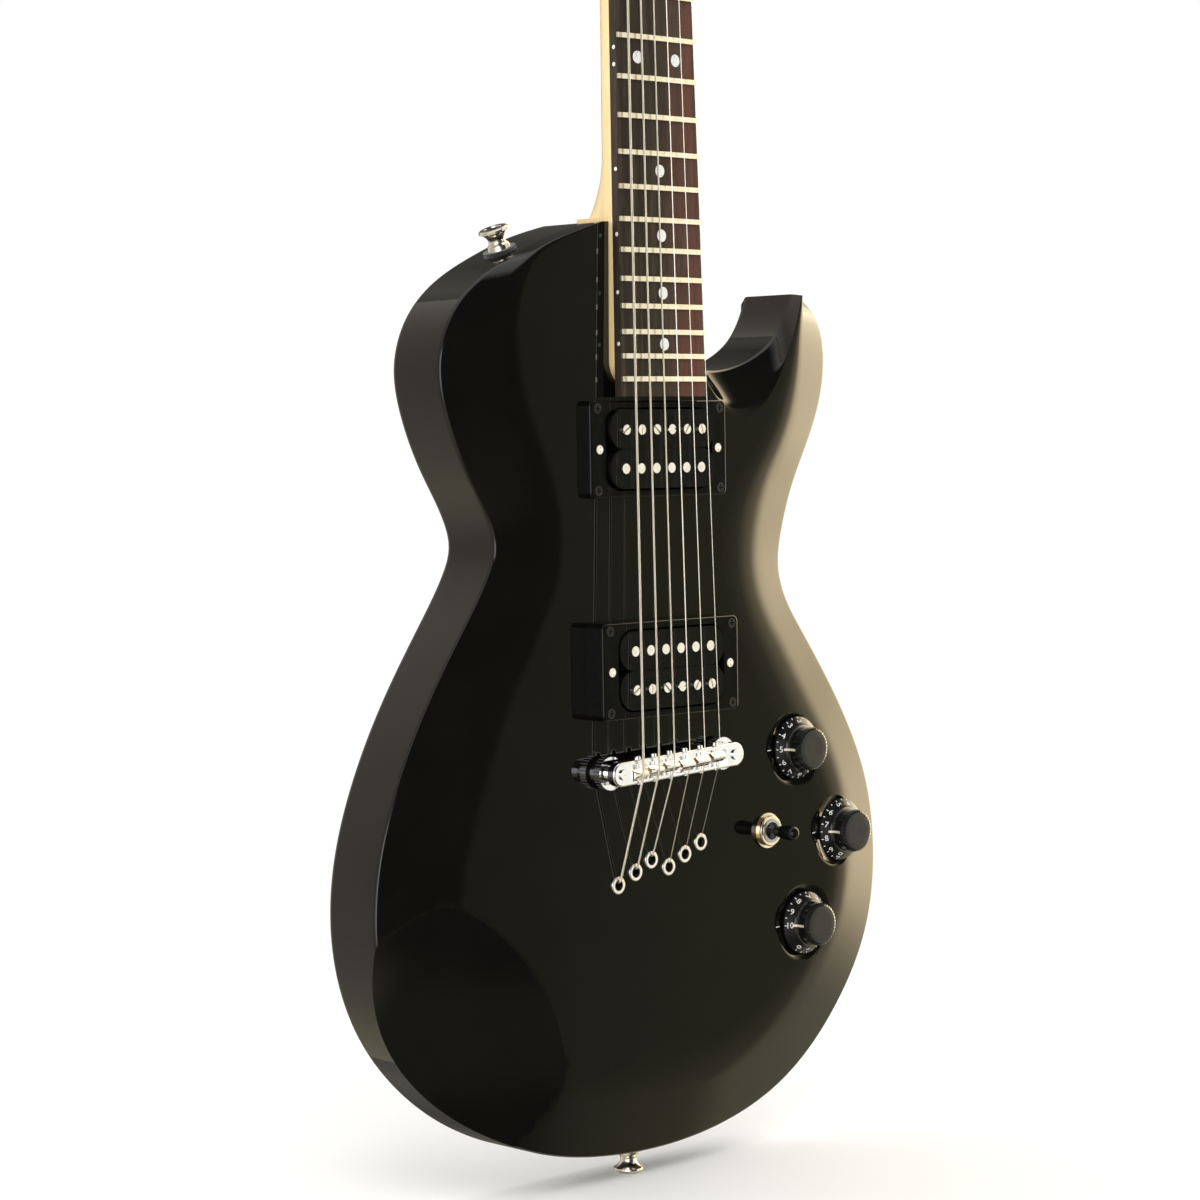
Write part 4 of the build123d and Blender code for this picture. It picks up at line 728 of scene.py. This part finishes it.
def cut_openings(shell):
    """Neck pocket, pickup wells, cavity, and the bores in the front, back and rim."""
    bm = bmesh.new()
    low, high = 178, 270
    prism(bm, round_poly([(-half_width(low), low, 12), (half_width(low), low, 12),
                          (half_width(high), high, 0), (-half_width(high), high, 0)]),
          CLEAR_FRONT, 22)
    for z in PICKUP_Z:
        prism(bm, rect(0, z, width=73, height=41, radius=5), CLEAR_FRONT, 20)
    for x, z in FRONT_HOLES:
        prism(bm, disc(x, z, 5.5), CLEAR_FRONT, 20)
    for x, z in FERRULES:
        prism(bm, disc(x, z, 3.45), CLEAR_FRONT, 7)
        prism(bm, disc(x, z, 3.6, steps=32), 36, CLEAR_BACK)
    prism(bm, round_poly(CAVITY), 12, CLEAR_BACK)
    round_bore(bm, frame_at(JACK_ORIGIN * MM, JACK_NORMAL), 9.5, inner=-34, outer=9)
    for centre, normal in RIM_SEATS:
        round_bore(bm, frame_at(Vector(centre) * MM, Vector(normal).normalized()), 8.2,
                   inner=-SEAT_DEPTH, outer=8)
    subtract(shell, bm)


def cut_steps(shell):
    """Second cuts that overlap the first: slots, counterbores, ledge and jack seat."""
    bm = bmesh.new()
    for z in PICKUP_Z:
        prism(bm, rect(0, z, width=87, height=13, radius=1), CLEAR_FRONT, 20)
    for x, z in FERRULES:
        prism(bm, disc(x, z, 4.7), 43.95, CLEAR_BACK)
    for name, x, z, reading, depth in KNOBS:
        prism(bm, disc(x, z, 3.6, steps=32), -8, 14)
    prism(bm, disc(75.7, -42.7, 6.0), -8, 14)
    prism(bm, round_poly(CAVITY, grow=6.0), 42.5, CLEAR_BACK)
    placing = frame_at((JACK_ORIGIN - JACK_NORMAL * SEAT_DEPTH) * MM, JACK_NORMAL, (0, 1, 0))
    seat = rect(0, 0, width=24, height=38, radius=5)
    loft(bm, [[bm.verts.new(placing @ Vector((x * MM, y * MM, height * MM))) for x, y in seat]
              for height in (0, 12)])
    subtract(shell, bm)


def open_pocket(shell):
    """Open the pocket on the treble side, where the outline runs along the neck."""
    inside, outside = 1.0, 1.3
    low, high = half_width(203.0), half_width(EDGE_HIGH)
    bm = bmesh.new()
    prism(bm, [(low - inside, 203.0), (low + outside, 203.0),
               (high + outside, 240.0), (high - inside, 240.0)], CLEAR_FRONT, 19.99)
    subtract(shell, bm)


def find_split(bm):
    """Last open edge with a stray vertex along it: edge, fraction, vertex; or None."""
    open_edges = [edge for edge in bm.edges if len(edge.link_faces) == 1]
    found = None
    for edge in open_edges:
        start, end = edge.verts[0].co, edge.verts[1].co
        span = end - start
        for other in open_edges:
            for vert in other.verts:
                if vert in edge.verts:
                    continue
                t = (vert.co - start).dot(span) / span.length_squared
                if 0.001 < t < 0.999 and (start + span * t - vert.co).length < 2e-6:
                    found = (edge, t, vert)
    return found


def mend(shell):
    """Weld doubles, and long open edges left by a cut facing two short ones."""
    bm = bmesh.new()
    bm.from_mesh(shell.data)
    bmesh.ops.remove_doubles(bm, verts=bm.verts, dist=1e-6)
    bmesh.ops.dissolve_degenerate(bm, edges=bm.edges, dist=1e-6)
    for _ in range(3):
        found = find_split(bm)
        if found is None:
            break
        edge, t, vert = found
        new_vert = bmesh.utils.edge_split(edge, edge.verts[0], t)[1]
        bmesh.ops.weld_verts(bm, targetmap={new_vert: vert})
    bm.to_mesh(shell.data)
    bm.free()


def build_body():
    shell = build_shell()
    for step in (cut_dishes, cut_bowl, cut_openings, cut_steps, open_pocket, mend):
        step(shell)
    shell.data.materials.clear()
    shell.data.materials.append(SLOT_MATERIALS["gloss_black_lacquer"])
    shell.data.shade_smooth()
    shell.data.set_sharp_from_angle(angle=math.radians(33))
    weighted = shell.modifiers.new("weighted_normals", "WEIGHTED_NORMAL")
    weighted.keep_sharp = True
    weighted.weight = 80
    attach(shell, "root")
    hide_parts("body_wood")


# ---------------------------------------------------------------- knob details
# The skirt is a cone: radius and y at its foot, and how far it runs in and rises.
SKIRT_RADIUS, SKIRT_Y = 15.6, -0.4
SKIRT_RUN, SKIRT_RISE = 3.4, 2.6
NUMBER_STEP = 30                 # degrees between numerals
# radius, y up the waist of the knob
WAIST = [(12.15, -3.05), (11.35, -3.7), (10.75, -4.6), (10.45, -5.8), (10.42, -6.6),
         (10.5, -7.8), (10.68, -9.0)]
# Section of the cream strip painted as a highlight: radial offset from the waist, sideways place
HIGHLIGHT_STRIP_SECTION = [(-0.35, -0.62), (0.28, -0.55), (0.34, 0.0), (0.28, 0.55), (-0.35, 0.62)]
# Section of the index tick: y off the body's surface, z from its middle
TICK_SECTION = [(0.10, -0.22), (-0.07, -0.22), (-0.07, 0.22), (0.10, 0.22)]


def numeral_mesh(text):
    curve = bpy.data.curves.new("t", "FONT")
    curve.body = text
    curve.size = 0.0042          # metres
    curve.align_x = "CENTER"
    curve.align_y = "CENTER"
    curve.extrude = 0.00003      # metres
    curve.resolution_u = 3
    holder = bpy.data.objects.new("t", curve)
    SCENE.collection.objects.link(holder)
    mesh = evaluated_mesh(holder)
    bpy.data.objects.remove(holder)
    bpy.data.curves.remove(curve)
    return mesh


def radial(angle):
    return Vector((math.cos(angle), 0, math.sin(angle)))


def on_skirt(centre, angle, radius, lift):
    """Frame on the cone: x inward up it, y clockwise seen from the front, z off it."""
    out = radial(angle)
    inward = (out * -SKIRT_RUN + Vector((0, -SKIRT_RISE, 0))).normalized()
    normal = (out * SKIRT_RISE + Vector((0, -SKIRT_RUN, 0))).normalized()
    y = SKIRT_Y - (SKIRT_RADIUS - radius) * SKIRT_RISE / SKIRT_RUN
    place = centre + out * radius + Vector((0, y, 0)) + normal * lift
    return axes_at(inward, normal.cross(inward), normal, [v * MM for v in place])


def dial_marks(name, centre, reading, numerals):
    """Numerals 0 to 10 and 21 ticks, turned so that the reading faces the index tick on the bass
    side.
    """
    bm = bmesh.new()
    for value, numeral in enumerate(numerals):
        angle = math.pi + math.radians(NUMBER_STEP) * (value - reading)
        turned = numeral.copy()
        turned.transform(on_skirt(centre, angle, radius=13.35, lift=0.04))
        bm.from_mesh(turned)
        bpy.data.meshes.remove(turned)
    for k in range(21):
        length = 1.1 if k % 2 == 0 else 0.9
        angle = math.pi + math.radians(NUMBER_STEP / 2) * (k - 2 * reading)
        box(bm, on_skirt(centre, angle, radius=15.45 - length * 0.4, lift=0.03),
            length, 0.38, 0.05)
    bmesh.ops.remove_doubles(bm, verts=bm.verts, dist=1e-6)
    piece(name + "_dial_marks", bm, PRINT_WHITE, name, smooth=False)


def pointer(name, centre):
    """Raised cream strip up the bass side of the waist: a painted highlight where a lamp's
    reflection falls.
    """
    bm = bmesh.new()
    loft(bm, [[bm.verts.new((centre + Vector((-math.sqrt((radius + off) ** 2 - side * side),
                                              y - 0.05, side))) * MM)
               for off, side in HIGHLIGHT_STRIP_SECTION] for radius, y in WAIST])
    piece(name + "_pointer", bm, PAINTED_HIGHLIGHT, name)


def cap_face(name, x, z):
    bm = bmesh.new()
    revolve(bm, [(9.35, -0.05), (9.35, 0.06), (9.1, 0.16), (6.0, 0.10), (0, 0.08)],
            frame_at(Vector((x, -11.8, z)) * MM, (0, -1, 0)), 96)
    piece(name + "_cap_face", bm, CAP, name)


def cap_ribs(name, centre):
    """36 buffed ribs of varied size on the cap's chamfer, one between grooves."""
    across, steep = 0.894, 0.447     # direction of the chamfer
    bm = bmesh.new()
    for k in range(36):
        angle = math.radians(k * 10 + 5)
        out = radial(angle)
        around = Vector((-math.sin(angle), 0, math.cos(angle)))
        inward = out * -across + Vector((0, -steep, 0))
        normal = out * steep + Vector((0, -across, 0))
        place = centre + out * 9.95 + Vector((0, -11.525, 0)) + normal * 0.02
        length = 0.85 + 0.25 * math.sin(k * 2.1)
        width = 0.42 + 0.14 * math.sin(k * 3.7)
        box(bm, axes_at(inward, around, normal, [v * MM for v in place]), length, width, 0.10)
    piece(name + "_cap_ribs", bm, BUFFED, name, smooth=False)


def index_tick(name, x, z, depth):
    """White tick across the bass side of the dish's lip."""
    bm = bmesh.new()
    rings = []
    for radius in (17.6, 18.5, 19.2, 19.9, 20.6, 21.3):
        surface = max(0.0, dish_y(radius, depth))
        rings.append([bm.verts.new(Vector((x - radius, surface + off, z + side)) * MM)
                      for off, side in TICK_SECTION])
    loft(bm, rings)
    piece(name + "_index_tick", bm, PRINT_WHITE, "root", smooth=False)


def build_knob_details():
    numerals = [numeral_mesh(str(value)) for value in range(11)]
    for name, x, z, reading, depth in KNOBS:
        centre = Vector((x, 0, z))
        dial_marks(name, centre, reading, numerals)
        pointer(name, centre)
        cap_face(name, x, z)
        cap_ribs(name, centre)
        index_tick(name, x, z, depth)


# ---------------------------------------------------------------- position dots
def before_fret(n):
    """Distance from the saddle to midway between fret n and the one before."""
    return SCALE_LENGTH * (2 ** (-n / 12) + 2 ** (-(n - 1) / 12)) / 2


SINGLE_DOTS = [before_fret(n) for n in (3, 5, 7, 9, 15, 17, 19, 21)]
OCTAVE = before_fret(12)


def build_inlays():
    """Pearl dots that follow the board's radius."""
    radii = (0.0, 1.0, 2.0, 2.8, 2.96)
    lift, floor_height = 0.03, -1.9
    bm = bmesh.new()
    for middle, along in [(0, s) for s in SINGLE_DOTS] + [(-12.5, OCTAVE), (12.5, OCTAVE)]:
        rings = [[bm.verts.new(neck_point(x, s, lift - x * x / (2 * BOARD_RADIUS)))
                  for x, s in disc(middle, along, radius, 40 if radius else 1)]
                 for radius in radii]
        rings.append([bm.verts.new(neck_point(x, s, floor_height))
                      for x, s in disc(middle, along, radii[-1])])
        for first, second in zip(rings, rings[1:]):
            join(bm, first, second)
        bm.faces.new(rings[-1])
    inlays = piece("pearl_inlays", bm, SLOT_MATERIALS["pearl"], "root")
    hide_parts("fret_markers")


def build_side_dots():
    """Small dots along the bass edge of the neck."""
    bm = bmesh.new()
    for along in SINGLE_DOTS + [OCTAVE - 4, OCTAVE + 4]:
        revolve(bm, [(1.0, -0.6), (1.0, 0.02), (0.85, 0.06), (0, 0.07)],
                frame_at(neck_point(-half_width(along), along, -2.6), (-1, 0, 0)), 24)
    piece("side_dots", bm, SLOT_MATERIALS["pearl"], "root")


# ---------------------------------------------------------------- world
# Reflected colour by azimuth in degrees: 0 is the front (-y), 90 the treble side (+x).
SURROUND = [
    (-180, (0.85, 0.80, 0.70)), (-137, (0.55, 0.48, 0.40)), (-100, (0.50, 0.47, 0.42)),
    (-70, (1.3, 1.3, 1.3)), (-45, (3.6, 3.6, 3.7)), (-28, (0.4, 0.4, 0.4)),
    (-12, (0.050, 0.050, 0.045)), (34, (0.055, 0.055, 0.042)), (41, (0.15, 0.145, 0.10)),
    (47, (0.28, 0.275, 0.17)), (56, (0.40, 0.36, 0.24)), (67, (1.3, 1.1, 0.70)),
    (74, (4.3, 3.5, 2.2)), (102, (4.6, 3.9, 2.7)), (118, (1.4, 1.2, 0.9)),
    (136, (0.10, 0.095, 0.08)), (152, (0.14, 0.13, 0.115)), (170, (0.38, 0.36, 0.30)),
]
# Reflected colours are stored divided by this, and the background multiplies it back.
GLOSS_STRENGTH = 8.0


def scaled(*colour):
    return tuple(channel / GLOSS_STRENGTH for channel in colour)


def build_world():
    """White to the camera, even to diffuse light, a shaped surround to reflections."""
    world = bpy.data.worlds.new("studio")
    SCENE.world = world
    world.use_nodes = True
    world.node_tree.nodes.clear()
    g = Graph(world.node_tree, "Generated")
    x, y, z = g.xyz()
    frontward = g.calc("MULTIPLY", y, -1)
    turn = g.remap(g.calc("ARCTAN2", x, frontward), span=(-math.pi, math.pi))
    surround = g.ramp(turn, [((degrees + 180) / 360, scaled(*colour))
                             for degrees, colour in SURROUND])
    # Towards the floor the surround is held between a ceiling and a base level.
    held = g.mix(1.0, surround, scaled(0.75, 0.68, 0.48), blend="DARKEN")
    held = g.mix(1.0, held, scaled(0.125, 0.12, 0.095), blend="LIGHTEN")
    colour = g.mix(g.remap(z, span=(-0.36, -0.12), smooth=True), held, surround)
    # Overhead it is an even near-white.
    colour = g.mix(g.remap(z, span=(0.72, 0.92)), colour, scaled(1.0, 1.0, 0.98))
    # In front only a band near eye level is lit, so recess walls go dark.
    off_band = g.remap(g.calc("ABSOLUTE", g.calc("ADD", z, 0.14)), span=(0.40, 0.54),
                       smooth=True)
    in_front = g.remap(frontward, span=(0.15, 0.45))
    colour = g.mix(g.calc("MULTIPLY", off_band, in_front), colour, scaled(0.05, 0.05, 0.045))

    def background(colour, strength):
        return g.node("ShaderNodeBackground",
                      {"Color": colour, "Strength": strength}).outputs[0]

    rays = g.node("ShaderNodeLightPath", {}).outputs
    lit = g.mix_shader(rays["Is Glossy Ray"], background((1.0, 0.99, 0.97), 0.85),
                       background(colour, GLOSS_STRENGTH))
    seen = g.mix_shader(rays["Is Camera Ray"], lit, background((1, 1, 1), 1.0))
    g.node("ShaderNodeOutputWorld", {0: seen})


# ---------------------------------------------------------------- lights, floor, camera
# Positions and sizes here are in metres.
METAL_SLOTS = {"chrome", "nickel", "steel", "string_steel", "fret_wire", "brass_nickel",
               "pearl"}


def area_light(name, place, target, size, power, color=(1, 1, 1)):
    light = bpy.data.lights.new(name, "AREA")
    light.size = size
    light.energy = power
    light.color = color
    made = bpy.data.objects.new(name, light)
    SCENE.collection.objects.link(made)
    made.location = place
    aim = Vector(target) - Vector(place)
    made.rotation_euler = aim.to_track_quat("-Z", "Y").to_euler()
    return made


def build_lights():
    softs = [
        area_light("key_soft", (-1.3, -1.6, 1.7), target=(0, 0, 0.1), size=1.4, power=34,
                   color=(1.0, 0.98, 0.94)),
        area_light("rim_soft", (1.6, -0.2, 0.9), target=(0.1, 0, 0.0), size=1.2, power=16,
                   color=(1.0, 0.96, 0.88)),
        area_light("back_soft", (-1.2, 1.6, 1.2), target=(0, 0, 0.1), size=1.4, power=22),
    ]
    for soft in softs:
        soft.visible_glossy = False

    # Broad panels that light only the bright metalwork and pearl of the frame.
    bright = bpy.data.collections.new("bright_parts")
    for subpart in SUBPARTS:
        if subpart["material_slot"] in METAL_SLOTS:
            bright.objects.link(NODES[subpart["node"]])
    for name, place, size, power in (("metal_right", (1.35, -1.45, 0.30), 1.2, 8.6),
                                     ("metal_left", (-1.6, -0.9, 0.5), 1.0, 4.5),
                                     ("metal_top", (0.2, -0.6, 2.0), 1.0, 6)):
        panel = area_light(name, place, target=(0, 0, 0), size=size, power=power,
                           color=(1.0, 0.98, 0.95))
        if name == "metal_right":
            panel.data.shape = "RECTANGLE"
            panel.data.size_y = 2.6
        panel.light_linking.receiver_collection = bright


def floor_material():
    """Pale floor that fades to plain white away from the guitar."""
    m = Surface("pale_floor")
    m.set(color=m.ramp(m.noise(scale=3.0, detail=2), [(0.3, (0.86, 0.86, 0.85)),
                                                      (0.7, (0.90, 0.90, 0.89))]), rough=0.6)
    glow = m.node("ShaderNodeEmission", {"Color": (1, 1, 1)}).outputs[0]
    distance = m.node("ShaderNodeVectorMath", {0: m.coords}, operation="LENGTH")
    far = m.remap(distance.outputs["Value"], span=(0.22, 1.15), smooth=True)
    m.feed(m.tree.nodes["Material Output"].inputs[0],
           m.mix_shader(far, m.shader.outputs[0], glow))
    return m.material


def build_floor():
    material = floor_material()
    level = min(cad_low.z, -0.2) - 0.001
    bm = bmesh.new()
    bm.faces.new([bm.verts.new((x, y, level)) for x, y in disc(0, 0, 5.0, steps=96)])
    floor = mesh_object("floor", bm, recalc=False)
    floor.data.materials.append(material)
    floor.visible_glossy = False


def build_camera():
    """Long lens in front on the bass side, looking at the guitar."""
    data = bpy.data.cameras.new("camera")
    data.sensor_width = 36
    data.lens = 93.6867
    data.clip_start = 0.05
    data.clip_end = 50
    camera = bpy.data.objects.new("camera", data)
    SCENE.collection.objects.link(camera)
    view = Vector((0.68422, 0.72738, -0.05259)).normalized()
    up = Vector((0.04681, 0.02816, 0.99851))
    up = (up - view * up.dot(view)).normalized()
    camera.matrix_world = axes_at(view.cross(up), up, -view, (-1.04606, -1.07374, 0.15526))
    SCENE.camera = camera


dress_frame()
build_body()
build_knob_details()
build_inlays()
build_side_dots()
SCENE.view_settings.view_transform = "Standard"
build_world()
build_lights()
build_floor()
build_camera()
